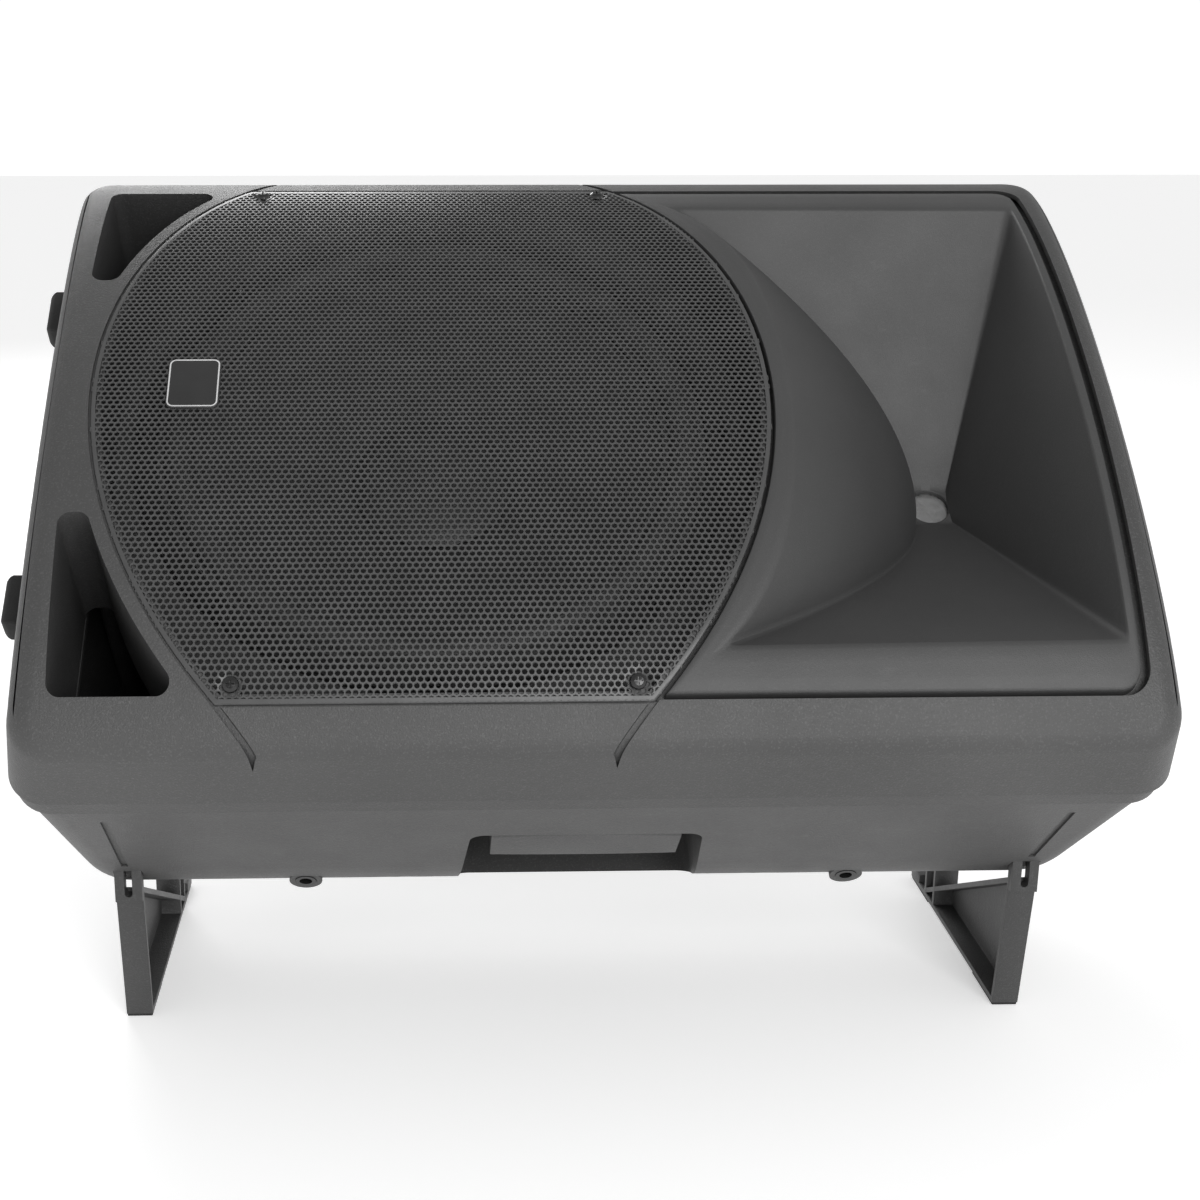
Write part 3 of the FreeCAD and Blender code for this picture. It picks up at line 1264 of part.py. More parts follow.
def amp_board():
    """The amplifier's circuit board on its spacers, with its larger parts."""
    inner = panel_level() + size("panel_plate")
    board_level = inner + 26
    board = block((-126, 8), (-76, 76), (board_level, board_level + size("board_plate")))
    posts = []
    for x in (-120, 2):
        for y in (-70, 70):
            posts.append(rod(3, (x, y, inner), (0, 0, 1), 26))
    cans = []
    for index in range(2):
        cans.append(rod(11, (-100 + 30 * index, 40, board_level + size("board_plate")), (0, 0, 1), 34))
    chips = block((-110, -30), (-40, -25), (board_level + size("board_plate"), board_level + 20))
    add_piece("amp_board", board.fuse(posts + cans + [chips]), cabinet_pose())


def transformer():
    """The ring-shaped mains transformer on its bracket and bolt."""
    inner = panel_level() + size("panel_plate")
    section = ring_wire(14, 18, 6, 0)
    section.rotate(Vector(0, 0, 0), Vector(1, 0, 0), 90)
    section.translate(Vector(26, 0, 0))
    core = Part.Face(section).revolve(Vector(0, 0, 0), Vector(0, 0, 1), 360)
    core.translate(Vector(72, 0, inner + 40))
    bracket = block((30, 114), (-12, 12), (inner + 20, inner + 23))
    bolt = rod(4, (72, 0, inner + 20), (0, 0, 1), 44)
    washer = rod(18, (72, 0, inner + 57), (0, 0, 1), 3)
    feet = [block((x, x + 3), (-12, 12), (inner, inner + 22)) for x in (30, 111)]
    whole = core.fuse([bracket, bolt, washer] + feet)
    add_piece("transformer", whole, cabinet_pose())


# ---------------------------------------------------------------- legs


def leg_outline():
    """The leg's triangle: a leaning front, a long slope, and a flat base."""
    base = size("pad_plate")
    return [
        Vector(0, size("leg_toe_y"), base), Vector(0, size("leg_tail_y"), base),
        Vector(0, size("leg_tail_y") - 2, base + size("leg_flange") + 2),
        Vector(0, size("leg_top_y") + 4, size("leg_top")), Vector(0, size("leg_top_y"), size("leg_top")),
    ]


def monitor_leg(end):
    """One clip-on leg: a web with flanges round it, two prongs in front and a post behind."""
    width = size("leg_width")
    base = size("pad_plate")
    flange = size("leg_flange")
    outer_x = end * (size("leg_x") + width / 2)
    inward = -end
    corners = leg_outline()
    wire = Part.makePolygon(corners + corners[:1])
    solid = Part.Face(wire).extrude(Vector(inward * width, 0, 0))
    hollow = wire.makeOffset2D(-flange)
    if hollow.BoundBox.YLength > wire.BoundBox.YLength:
        hollow = wire.makeOffset2D(flange)
    recess = Part.Face(hollow).extrude(Vector(inward * width, 0, 0))
    recess.translate(Vector(inward * size("leg_web"), 0, 0))
    solid = solid.cut(recess)
    solid.translate(Vector(outer_x, 0, 0))
    across = tuple(sorted((outer_x, outer_x + inward * width)))
    tail = block(across, (size("leg_tail_y") - 8, size("leg_heel_y")), (base, base + flange))
    heel = block(across, (size("leg_heel_y") - 22, size("leg_heel_y")), (base, size("leg_heel_height")))
    post = block(across, (size("post_front_y"), size("post_back_y")), (base, size("post_top")))
    hole_x = tuple(sorted((outer_x + inward * size("leg_web"), outer_x + inward * (width + 1))))
    post_hole = block(hole_x, (size("post_front_y") + 4, size("post_back_y") - 4),
                      (base + flange, size("post_top") - 18))
    prongs = block(across, (size("prong_front_y"), size("prong_back_y")), (size("leg_top") - 8,
                                                                            size("prong_top")))
    middle = outer_x + inward * width / 2
    gap = size("prong_gap") / 2
    channel = block((middle - gap, middle + gap), (-60, size("prong_back_y") + 1),
                    (size("leg_top") - 2, size("prong_top") + 1))
    round_end = rod(gap, (middle, -60, size("leg_top") - 2), (0, 1, 0), 60 + size("prong_back_y") + 1)
    post = post.cut(post_hole)
    return solid.fuse([tail, heel, post, prongs]).cut([channel, round_end]).removeSplitter()


def leg_pads(end):
    """The rubber strips under one leg."""
    width = size("leg_width")
    across = (end * size("leg_x") - width / 2 + 0.4, end * size("leg_x") + width / 2 - 0.4)
    toe = size("leg_toe_y") + 0.6
    front = block(across, (toe, toe + size("pad_length")), (0, size("pad_plate")))
    back = block(across, (size("leg_heel_y") - 46, size("leg_heel_y") - 0.6), (0, size("pad_plate")))
    return Part.makeCompound([front, back])


def legs():
    """Both legs with their pads."""
    for name, end in (("left", -1), ("right", 1)):
        add_piece(f"monitor_leg_{name}", monitor_leg(end), floor_pose())
        add_piece(f"leg_pads_{name}", leg_pads(end), floor_pose())


# ---------------------------------------------------------------- the whole object


def build():
    """Makes every piece."""
    fill_sheet()
    add_piece("front_shell", front_shell(), cabinet_pose())
    add_piece("rear_shell", rear_shell(), cabinet_pose())
    shell_seal()
    add_piece("horn_flare", horn_flare(), cabinet_pose())
    throat_screen()
    driver_parts()
    woofer_basket()
    woofer_parts()
    woofer_screws()
    grille()
    grille_screws()
    badge()
    shell_screws()
    handle_grips()
    fly_points()
    pole_socket()
    rubber_feet()
    amp_panel()
    heat_sink()
    controls()
    audio_sockets()
    mains_inlet()
    power_switch()
    amp_board()
    transformer()
    panel_screws()
    legs()
    doc.recompute()


def check():
    """Stops on any failed object or unsound shape."""
    for item in doc.Objects:
        if {"Invalid", "Error"} & set(item.State):
            raise RuntimeError(f"{item.Name} did not recompute: {item.State}")
    for piece in pieces:
        if piece.Shape.isNull() or not piece.Shape.isValid():
            raise RuntimeError(f"{piece.Label} has no sound shape")


def write():
    """Writes one file per piece and prints its size."""
    os.makedirs("parts", exist_ok=True)
    for piece in pieces:
        piece.Shape.exportStep(f"parts/{piece.Label}.step")
        box = piece.Shape.BoundBox
        solids = len(piece.Shape.Solids)
        print(f"{piece.Label}: {box.XLength:.1f} x {box.YLength:.1f} x {box.ZLength:.1f}, {solids} solids")


build()
check()
write()
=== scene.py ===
# %% [markdown]
# # A stage monitor on its side
# The cabinet is a moulded loudspeaker that lies on one long side and stands on two clip-on legs.
# The engineering model is already made and holds every size. This lesson gives it its looks:
# finishes for the moulded, painted and rubber parts, a really perforated grille, a smooth horn,
# softened edges, a badge with a light border, and plain studio light.

# %% Load the fixed model
import json
import math

import bmesh
import bpy
import numpy as np
from mathutils import Matrix, Vector


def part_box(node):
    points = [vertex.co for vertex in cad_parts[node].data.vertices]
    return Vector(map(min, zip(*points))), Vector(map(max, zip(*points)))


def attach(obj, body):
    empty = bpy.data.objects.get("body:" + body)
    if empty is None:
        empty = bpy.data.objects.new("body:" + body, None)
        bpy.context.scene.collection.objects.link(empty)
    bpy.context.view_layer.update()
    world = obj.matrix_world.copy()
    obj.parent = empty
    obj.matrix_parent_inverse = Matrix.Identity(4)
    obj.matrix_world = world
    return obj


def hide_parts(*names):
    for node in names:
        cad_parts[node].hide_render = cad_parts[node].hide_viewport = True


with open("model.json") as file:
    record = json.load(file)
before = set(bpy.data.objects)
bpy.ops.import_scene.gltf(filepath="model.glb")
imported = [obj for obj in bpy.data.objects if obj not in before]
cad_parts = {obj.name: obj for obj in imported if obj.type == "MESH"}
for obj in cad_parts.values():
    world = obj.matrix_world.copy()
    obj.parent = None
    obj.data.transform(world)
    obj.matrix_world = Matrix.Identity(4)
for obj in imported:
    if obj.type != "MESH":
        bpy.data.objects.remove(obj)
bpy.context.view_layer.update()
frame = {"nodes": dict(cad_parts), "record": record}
nodes = frame["nodes"]

# %% [markdown]
# ## The cabinet's own frame
# The cabinet leans back 40 degrees, so its front is easier to describe along and across itself:
# x towards the horn end, y across, z out of the front, in millimetres. One matrix takes such a
# point to its real place. Its origin is found from the left leg's rubber pads, whose place on the
# leg is known, so nothing here is fitted by eye.

# %% From cabinet millimetres to the row's metres
LEAN = math.radians(40)
LEG_X = 297.0
PAD_TOE_Y = -33.8
CHORD_HEIGHT = 404.0

pad_low, pad_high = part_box("leg_pads_left")
origin = Vector((
    (pad_low.x + pad_high.x) / 2 + LEG_X / 1000,
    pad_low.y - PAD_TOE_Y / 1000,
    CHORD_HEIGHT / 1000,
))
CABINET = Matrix.Translation(origin) @ Matrix.Rotation(LEAN, 4, "X") @ Matrix.Scale(0.001, 4)
print("cabinet origin:", [round(value, 4) for value in origin])

# %% The bowed front, as a formula
BOW_HALF = 248.6
BOW_RISE = 76.4
BOW_BASE = -40.4


def bow(y, drop=0.0):
    """Level of the front surface at a distance y from its middle, lowered by a drop."""
    share = min(1.0, abs(y) / (BOW_HALF - drop))
    return BOW_BASE + (BOW_RISE - drop) * math.sqrt(1 - share * share)


print("front level at the middle:", bow(0))


# %% [markdown]
# ## Finishes
# A moulded plastic is never one flat grey. The mould leaves a fine grain, the resin varies a little
# from place to place, and handling leaves pale scuffs. Each finish below is a small node tree on
# object coordinates, so a grain keeps its true size on every piece. The tree changes the colour,
# the roughness and the bump; whatever is the same all over is set on the shader itself.

# %% A small helper for node trees
class Tree:
    """Adds nodes to a material or a geometry tree and links them in one call."""

    def __init__(self, tree):
        self.tree = tree

    def add(self, kind, settings=None, **inputs):
        """A node with its settings, whose inputs are given as numbers or as other sockets."""
        node = self.tree.nodes.new(kind)
        for name, value in (settings or {}).items():
            setattr(node, name, value)
        for name, value in inputs.items():
            key = int(name[1:]) if name[0] == "_" else name.replace("_", " ")
            self.feed(node.inputs[key], value)
        return node

    def feed(self, socket, value):
        """Links a socket, or sets its value."""
        if isinstance(value, bpy.types.NodeSocket):
            self.tree.links.new(value, socket)
        else:
            socket.default_value = value

    def calc(self, operation, first, second=0.0):
        """One arithmetic step."""
        node = self.add("ShaderNodeMath", {"operation": operation}, _0=first, _1=second)
        return node.outputs[0]


def new_material(name, roughness, metallic=0.0, specular=0.5):
    """An empty material with its shader, as (material, tree helper, shader)."""
    made = bpy.data.materials.new(name)
    made.use_nodes = True
    tree = Tree(made.node_tree)
    shader = made.node_tree.nodes["Principled BSDF"]
    shader.inputs["Roughness"].default_value = roughness
    shader.inputs["Metallic"].default_value = metallic
    shader.inputs["Specular IOR Level"].default_value = specular
    return made, tree, shader


def noise(tree, scale, detail=3.0, roughness=0.55, stretch=None):
    """Noise on object coordinates; scale is in features per metre."""
    place = tree.add("ShaderNodeTexCoord").outputs["Object"]
    if stretch:
        place = tree.add("ShaderNodeMapping", Vector=place, Scale=stretch).outputs[0]
    node = tree.add("ShaderNodeTexNoise", Vector=place, Scale=scale, Detail=detail, Roughness=roughness)
    return node.outputs["Fac"]


def between(tree, value, low, high):
    """Stretches the part of a value from low to high over 0 to 1."""
    settings = {"clamp": True}
    node = tree.add("ShaderNodeMapRange", settings, Value=value, From_Min=low, From_Max=high)
    return node.outputs[0]


def mix(tree, share, first, second):
    """Mixes two colours by a share."""
    node = tree.add("ShaderNodeMix", {"data_type": "RGBA"}, _0=share, _6=first, _7=second)
    return node.outputs[2]


def grey(level, warm=0.0):
    """A neutral colour, warmed or cooled a little."""
    return (level * (1 + warm), level, level * (1 - warm), 1.0)


# %% Moulded plastics; each band says which part of a noise shows, from nothing to full
CLOUD_BAND = (0.35, 0.65)
SPECK_BAND = (0.56, 0.7)
RUB_BAND = (0.62, 0.76)
STREAKED = (1.0, 4.0, 1.0)


def moulded(name, level, grain=1000.0, depth=0.0004, roughness=0.5, scuff=0.5, speck=0.4, warm=0.0):
    """Moulded plastic: grain, slow colour changes, pale specks and a few rubbed patches."""
    made, tree, shader = new_material(name, roughness)
    slow = between(tree, noise(tree, 7.0), *CLOUD_BAND)
    base = mix(tree, slow, grey(level * 0.93, warm), grey(level * 1.06, warm))
    specks = between(tree, noise(tree, 850.0, 1.0), *SPECK_BAND)
    base = mix(tree, tree.calc("MULTIPLY", specks, speck), base, grey(level * 2.2, warm))
    rubs = between(tree, noise(tree, 30.0, 5.0, 0.75, STREAKED), *RUB_BAND)
    base = mix(tree, tree.calc("MULTIPLY", rubs, scuff * 0.5), base, grey(level * 1.7, warm))
    tree.feed(shader.inputs["Base Color"], base)
    rough = tree.calc("ADD", tree.calc("MULTIPLY", noise(tree, 24.0), 0.16), roughness - 0.08)
    tree.feed(shader.inputs["Roughness"], tree.calc("SUBTRACT", rough, tree.calc("MULTIPLY", rubs, 0.1)))
    height = tree.calc("ADD", noise(tree, grain, 2.0), tree.calc("MULTIPLY", noise(tree, grain / 4), 0.6))
    bump = tree.add("ShaderNodeBump", Strength=0.8, Distance=depth, Height=height)
    tree.feed(shader.inputs["Normal"], bump.outputs[0])
    return made


shell_plastic = moulded("shell_plastic", 0.052, warm=0.004)
leg_plastic = moulded("leg_plastic", 0.038, roughness=0.46, scuff=1.0)
horn_plastic = moulded("horn_plastic", 0.051, grain=1700.0, depth=0.00016, scuff=0.3, speck=0.12)
fine_skin = {"grain": 1500.0, "depth": 0.0001, "scuff": 0.2, "speck": 0.1}
black_plastic = moulded("black_plastic", 0.016, roughness=0.42, **fine_skin)
knob_plastic = moulded("knob_plastic", 0.026, roughness=0.38, **fine_skin)
print("moulded finishes made")


# %% [markdown]
# ## Paint, rubber, paper and metal
# Powder coat is smoother than a moulding but ripples faintly, like the skin of an orange. Rubber,
# paper and cloth are matt and fibrous, and bare metal shows fine marks. Three short recipes cover
# them all, and each finish is one call with its own shade, grain and gloss.

# %% Paint, rubber, paper and bare metals
WIDE_BAND = (0.3, 0.7)
FIBRES = (1.0, 2.6, 1.0)


def painted(name, level, roughness=0.4, depth=0.00006, specular=0.5):
    """Powder coat or paint: an even dark film with a faint orange-peel surface."""
    made, tree, shader = new_material(name, roughness, specular=specular)
    slow = between(tree, noise(tree, 40.0), *WIDE_BAND)
    base = mix(tree, slow, grey(level * 0.88), grey(level * 1.12))
    tree.feed(shader.inputs["Base Color"], base)
    bump = tree.add("ShaderNodeBump", Strength=0.4, Distance=depth, Height=noise(tree, 700.0))
    tree.feed(shader.inputs["Normal"], bump.outputs[0])
    rough = tree.calc("ADD", tree.calc("MULTIPLY", noise(tree, 90.0), 0.18), roughness - 0.09)
    tree.feed(shader.inputs["Roughness"], rough)
    return made


def metal(name, level, roughness=0.32, warm=0.0):
    """Bare metal with fine tool marks and slight tarnish."""
    made, tree, shader = new_material(name, roughness, metallic=1.0)
    marks = noise(tree, 260.0, 4.0, 0.6)
    base = mix(tree, between(tree, marks, *WIDE_BAND), grey(level * 0.8, warm), grey(level, warm))
    tree.feed(shader.inputs["Base Color"], base)
    rough = tree.calc("ADD", tree.calc("MULTIPLY", marks, 0.25), roughness - 0.12)
    tree.feed(shader.inputs["Roughness"], rough)
    return made


def fibrous(name, colour, grain=420.0, depth=0.0004, roughness=0.88):
    """Pressed paper, cloth or rubber: a matt surface with matted fibres or a fine bloom."""
    made, tree, shader = new_material(name, roughness, specular=0.3)
    strands = noise(tree, grain, 6.0, 0.7, FIBRES)
    dark = tuple(channel * 0.7 for channel in colour[:3]) + (1.0,)
    light = tuple(min(1.0, channel * 1.35) for channel in colour[:3]) + (1.0,)
    tree.feed(shader.inputs["Base Color"], mix(tree, between(tree, strands, *CLOUD_BAND), dark, light))
    bump = tree.add("ShaderNodeBump", Strength=0.6, Distance=depth, Height=strands)
    tree.feed(shader.inputs["Normal"], bump.outputs[0])
    return made


grille_black = painted("grille_black", 0.064, roughness=0.33)
frame_black = painted("frame_black", 0.02, roughness=0.42)
panel_black = painted("panel_black", 0.022, roughness=0.46)
heat_sink_black = painted("heat_sink_black", 0.03, roughness=0.34)
screw_black = painted("screw_black", 0.012, roughness=0.2, depth=0.00002)
badge_black = painted("badge_black", 0.03, roughness=0.4, depth=0.00002, specular=0.3)
border_white = painted("badge_border", 0.6, roughness=0.4, depth=0.00002)
magnet_black = fibrous("magnet_black", grey(0.035), grain=900.0, depth=0.0001, roughness=0.7)
black_rubber = fibrous("black_rubber", grey(0.022), grain=1100.0, depth=0.00012, roughness=0.72)
paper_cone = fibrous("paper_cone", grey(0.05))
dust_cap = fibrous("dust_cap", grey(0.05), grain=900.0, depth=0.0001, roughness=0.4)
roll_rubber = fibrous("roll_rubber", grey(0.06), grain=900.0, depth=0.0001, roughness=0.5)
spider_cloth = fibrous("spider_cloth", (0.42, 0.25, 0.08, 1.0), grain=1500.0)
board_green = painted("board_green", 0.05, roughness=0.4)
winding_tape = fibrous("winding_tape", (0.5, 0.34, 0.04, 1.0), grain=300.0, roughness=0.4)
zinc_steel = metal("zinc_steel", 0.62, warm=0.03)
cast_metal = metal("cast_metal", 0.55, roughness=0.45)
steel_mesh = metal("steel_mesh", 0.62, roughness=0.5)
copper = metal("copper", 0.5, warm=0.35)
titanium = metal("titanium", 0.6, roughness=0.25)
print("finishes:", len(bpy.data.materials))

# %% [markdown]
# ## Giving every carried-over part its finish
# The record says which slot each part belongs to, so one table from slot to finish is enough. The
# parts that are remade below are replaced, and the rest show as they are.

# %% Slot to finish
FINISHES = {
    "shell_plastic": shell_plastic, "horn_plastic": horn_plastic, "leg_plastic": leg_plastic,
    "black_plastic": black_plastic, "knob_plastic": knob_plastic, "black_rubber": black_rubber,
    "grille_black": grille_black, "steel_mesh": steel_mesh, "cast_metal": cast_metal,
    "titanium": titanium, "magnet_black": magnet_black, "frame_black": frame_black,
    "spider_cloth": spider_cloth, "zinc_steel": zinc_steel, "screw_black": screw_black,
    "badge_black": badge_black, "panel_black": panel_black, "heat_sink_black": heat_sink_black,
    "board_green": board_green, "winding_tape": winding_tape, "paper_cone": paper_cone,
    "copper": copper,
}
OWN_FINISHES = {"woofer_dust_cap": dust_cap, "woofer_surround": roll_rubber, "fly_points": screw_black}
slot_of = {entry["node"]: entry["material_slot"] for entry in frame["record"]["subparts"]}
for name, part in nodes.items():
    part.data.materials.clear()
    part.data.materials.append(OWN_FINISHES.get(name, FINISHES[slot_of[name]]))
print("finished parts:", len(slot_of))


# %% [markdown]
# ## Turning script geometry into pieces
# Each new piece is a plain mesh in the row's frame whose object stays at the origin. A closed piece
# with outward faces exports cleanly, so its normals are recalculated before it is finished.

# %% Helpers that make pieces
def add_object(name, mesh, material=None):
    """Links a mesh as an object at the origin."""
    made = bpy.data.objects.new(name, mesh)
    bpy.context.scene.collection.objects.link(made)
    if material:
        mesh.materials.clear()
        mesh.materials.append(material)
    return made


def plain(piece):
    """Applies a piece's modifiers by swapping in its evaluated mesh."""
    bpy.context.view_layer.update()
    graph = bpy.context.evaluated_depsgraph_get()
    mesh = bpy.data.meshes.new_from_object(piece.evaluated_get(graph))
    piece.modifiers.clear()
    piece.data = mesh
    return piece


def shade(piece, degrees=35.0):
    """Smooth shading, with edges sharper than an angle kept hard."""
    piece.data.shade_smooth()
    sharp = math.radians(degrees)
    work = bmesh.new()
    work.from_mesh(piece.data)
    for edge in work.edges:
        edge.smooth = len(edge.link_faces) == 2 and edge.calc_face_angle(0.0) < sharp
    work.to_mesh(piece.data)
    work.free()


def settle(piece, body="cabinet", instead=()):
    """Says what a finished piece rides on, and what it replaces."""
    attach(piece, body)
    if instead:
        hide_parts(*instead)
    print(piece.name, "triangles:", sum(len(face.vertices) - 2 for face in piece.data.polygons))


# %% Skins of quads
def rows_mesh(name, rows, closed_ends=False):
    """Joins closed rows of points, each as long as the last, into a skin of quads."""
    count = len(rows[0])
    points = [point for row in rows for point in row]
    faces = []
    last = len(rows) if closed_ends else len(rows) - 1
    for upper in range(last):
        lower = (upper + 1) % len(rows)
        for index in range(count):
            following = (index + 1) % count
            faces.append((upper * count + index, upper * count + following,
                          lower * count + following, lower * count + index))
    mesh = bpy.data.meshes.new(name)
    mesh.from_pydata([tuple(point) for point in points], [], faces)
    return mesh


# %% [markdown]
# ## The perforated grille
# The real grille is one steel sheet punched with about ten thousand round holes in staggered rows,
# then bent to the cabinet's bow. Cutting the holes one by one would be slow and fragile. Instead one
# small brick with a hole is drawn, and a geometry tree lays it in staggered rows, keeps the bricks
# whose centres lie inside the outline, joins them, and bends the joined sheet. Bricks in
# neighbouring rows share their corner points, so the sheet has no cracks.

# %% The grille's sizes, in millimetres; HOLE is a radius and HOLE_EDGE a share of the sheet
GRILLE_X = -95.3
GRILLE_HALF_WIDTH = 211.0
GRILLE_ARC = 305.0
GRILLE_ARC_OFF = 93.7
SHEET = 1.2
PITCH = 4.15
ROW_SQUEEZE = 0.985
ROW_STEP = PITCH * math.sqrt(3) / 2 * ROW_SQUEEZE
HOLE = 1.62
HOLE_EDGE = 0.22
ON_RIM = 1e-6


def brick(name, pitch, row_step, hole, thick, sides=8):
    """One brick of the sheet with a round hole through it, whose front edge is broken."""
    half_x = pitch / 2
    half_y = row_step / 2
    rim = [(half_x, 0), (half_x, half_y), (0, half_y), (-half_x, half_y),
           (-half_x, 0), (-half_x, -half_y), (0, -half_y), (half_x, -half_y)]
    turn = 2 * math.pi / sides
    ring = [(math.cos(turn * step), math.sin(turn * step)) for step in range(sides)]
    wide = hole * (1 + HOLE_EDGE / 2)
    rows = [
        [(x, y, -thick) for x, y in rim], [(x, y, 0.0) for x, y in rim],
        [(wide * x, wide * y, 0.0) for x, y in ring],
        [(hole * x, hole * y, -thick * HOLE_EDGE) for x, y in ring],
        [(hole * x, hole * y, -thick) for x, y in ring],
    ]
    mesh = rows_mesh(name, rows, closed_ends=True)
    work = bmesh.new()
    work.from_mesh(mesh)
    on_rim = {vert for vert in work.verts
              if max(abs(vert.co.x) - half_x, abs(vert.co.y) - half_y) > -ON_RIM}
    outer = [face for face in work.faces if on_rim.issuperset(face.verts)]
    bmesh.ops.delete(work, geom=outer, context="FACES")
    work.to_mesh(mesh)
    work.free()
    return bpy.data.objects.new(name, mesh)


# %% Opening, closing and running a geometry tree
def open_tree(name, inputs):
    """A geometry tree with named inputs and one geometry output."""
    group = bpy.data.node_groups.new(name, "GeometryNodeTree")
    for label, kind in inputs:
        group.interface.new_socket(name=label, in_out="INPUT", socket_type=kind)
    group.interface.new_socket(name="Geometry", in_out="OUTPUT", socket_type="NodeSocketGeometry")
    helper = Tree(group)
    return group, helper, helper.add("NodeGroupInput").outputs


def close_tree(helper, geometry, finish):
    """Ends a tree in real geometry with its finish."""
    real = helper.add("GeometryNodeRealizeInstances", Geometry=geometry)
    dressed = helper.add("GeometryNodeSetMaterial", Geometry=real.outputs[0], Material=finish)
    helper.add("NodeGroupOutput", _0=dressed.outputs[0])


def run_tree(name, group, values):
    """Runs a geometry tree on an empty mesh and returns the result as a plain object."""
    made = add_object(name, bpy.data.meshes.new(name))
    modifier = made.modifiers.new("build", "NODES")
    modifier.node_group = group
    for item in group.interface.items_tree:
        if item.in_out == "INPUT":
            modifier[item.identifier] = values[item.name]
    return plain(made)


# %% The tree that lays, trims and bends the bricks
SHEET_INPUTS = (
    ("Brick", "NodeSocketObject"), ("Pitch", "NodeSocketFloat"), ("Row step", "NodeSocketFloat"),
    ("Columns", "NodeSocketInt"), ("Rows", "NodeSocketInt"), ("Arc radius", "NodeSocketFloat"),
    ("Arc offset", "NodeSocketFloat"), ("Half width", "NodeSocketFloat"),
    ("From x", "NodeSocketFloat"), ("To x", "NodeSocketFloat"), ("Bow half", "NodeSocketFloat"),
    ("Bow rise", "NodeSocketFloat"), ("Bow base", "NodeSocketFloat"),
    ("Finish", "NodeSocketMaterial"),
)


def sheet_tree():
    """Staggered bricks inside two arcs and two straight edges, bent to an elliptical bow."""
    group, tree, given = open_tree("perforated_sheet", SHEET_INPUTS)
    width = tree.calc("MULTIPLY", given["Pitch"], tree.calc("SUBTRACT", given["Columns"], 1))
    height = tree.calc("MULTIPLY", given["Row step"], tree.calc("SUBTRACT", given["Rows"], 1))
    grid = tree.add("GeometryNodeMeshGrid", Size_X=width, Size_Y=height,
                    Vertices_X=given["Columns"], Vertices_Y=given["Rows"])
    place = tree.add("ShaderNodeSeparateXYZ", Vector=tree.add("GeometryNodeInputPosition").outputs[0])
    across, along = place.outputs[0], place.outputs[1]
    row = tree.calc("ROUND", tree.calc("DIVIDE", along, given["Row step"]))
    odd = tree.calc("MODULO", tree.calc("ABSOLUTE", row), 2.0)
    shift = tree.calc("MULTIPLY", odd, tree.calc("MULTIPLY", given["Pitch"], 0.5))
    stagger = tree.add("ShaderNodeCombineXYZ", X=shift)
    laid = tree.add("GeometryNodeSetPosition", Geometry=grid.outputs[0], Offset=stagger.outputs[0])
    outside = tree.calc("GREATER_THAN", tree.calc("ABSOLUTE", along), given["Half width"])
    for sign in ("ADD", "SUBTRACT"):
        reach_x = tree.calc(sign, across, given["Arc offset"])
        square = tree.calc("ADD", tree.calc("MULTIPLY", reach_x, reach_x),
                           tree.calc("MULTIPLY", along, along))
        beyond = tree.calc("GREATER_THAN", tree.calc("SQRT", square), given["Arc radius"])
        outside = tree.calc("MAXIMUM", outside, beyond)
    outside = tree.calc("MAXIMUM", outside, tree.calc("LESS_THAN", across, given["From x"]))
    late = tree.calc("SUBTRACT", 1.0, tree.calc("LESS_THAN", across, given["To x"]))
    outside = tree.calc("MAXIMUM", outside, late)
    kept = tree.add("GeometryNodeDeleteGeometry", {"domain": "POINT"},
                    Geometry=laid.outputs[0], Selection=outside)
    stamp = tree.add("GeometryNodeObjectInfo", Object=given["Brick"])
    copies = tree.add("GeometryNodeInstanceOnPoints", Points=kept.outputs[0],
                      Instance=stamp.outputs["Geometry"])
    real = tree.add("GeometryNodeRealizeInstances", Geometry=copies.outputs[0])
    whole = tree.add("GeometryNodeMergeByDistance", Geometry=real.outputs[0], Distance=0.01)
    share = tree.calc("DIVIDE", along, given["Bow half"])
    drop = tree.calc("SQRT", tree.calc("SUBTRACT", 1.0, tree.calc("MULTIPLY", share, share)))
    level = tree.calc("ADD", tree.calc("MULTIPLY", drop, given["Bow rise"]), given["Bow base"])
    lift = tree.add("ShaderNodeCombineXYZ", Z=level)
    bent = tree.add("GeometryNodeSetPosition", Geometry=whole.outputs[0], Offset=lift.outputs[0])
    close_tree(tree, bent.outputs[0], given["Finish"])
    return group


print("brick size:", PITCH, "by", round(ROW_STEP, 3))

# %% Lay the sheet in strips
perforated = sheet_tree()
grille_brick = brick("grille_brick", PITCH, ROW_STEP, HOLE, SHEET)
EDGE = 1.6
SHEET_SUNK = 0.25
STRIPS = 5
SPAN = 2 * (GRILLE_ARC - GRILLE_ARC_OFF)
STRIP = SPAN / STRIPS
COLUMNS = 2 * int(SPAN / PITCH / 2) + 3
ROWS = 2 * int(GRILLE_HALF_WIDTH / ROW_STEP) + 1
SCREW_X = 117.4
SCREW_Y = 200.7
DIMPLE_REACH = 9.5
DIMPLE_DEPTH = 2.0


def press_dimples(piece):
    """Sinks the sheet under each screw head."""
    spots = np.empty(3 * len(piece.data.vertices))
    piece.data.vertices.foreach_get("co", spots)
    spots = spots.reshape(-1, 3)
    for side_x in (-1, 1):
        for side_y in (-1, 1):
            away = np.hypot(spots[:, 0] - side_x * SCREW_X, spots[:, 1] - side_y * SCREW_Y)
            near = np.clip(1 - away / DIMPLE_REACH, 0, 1)
            spots[:, 2] -= DIMPLE_DEPTH * near * near * (3 - 2 * near)
    piece.data.vertices.foreach_set("co", spots.ravel())
    piece.data.update()


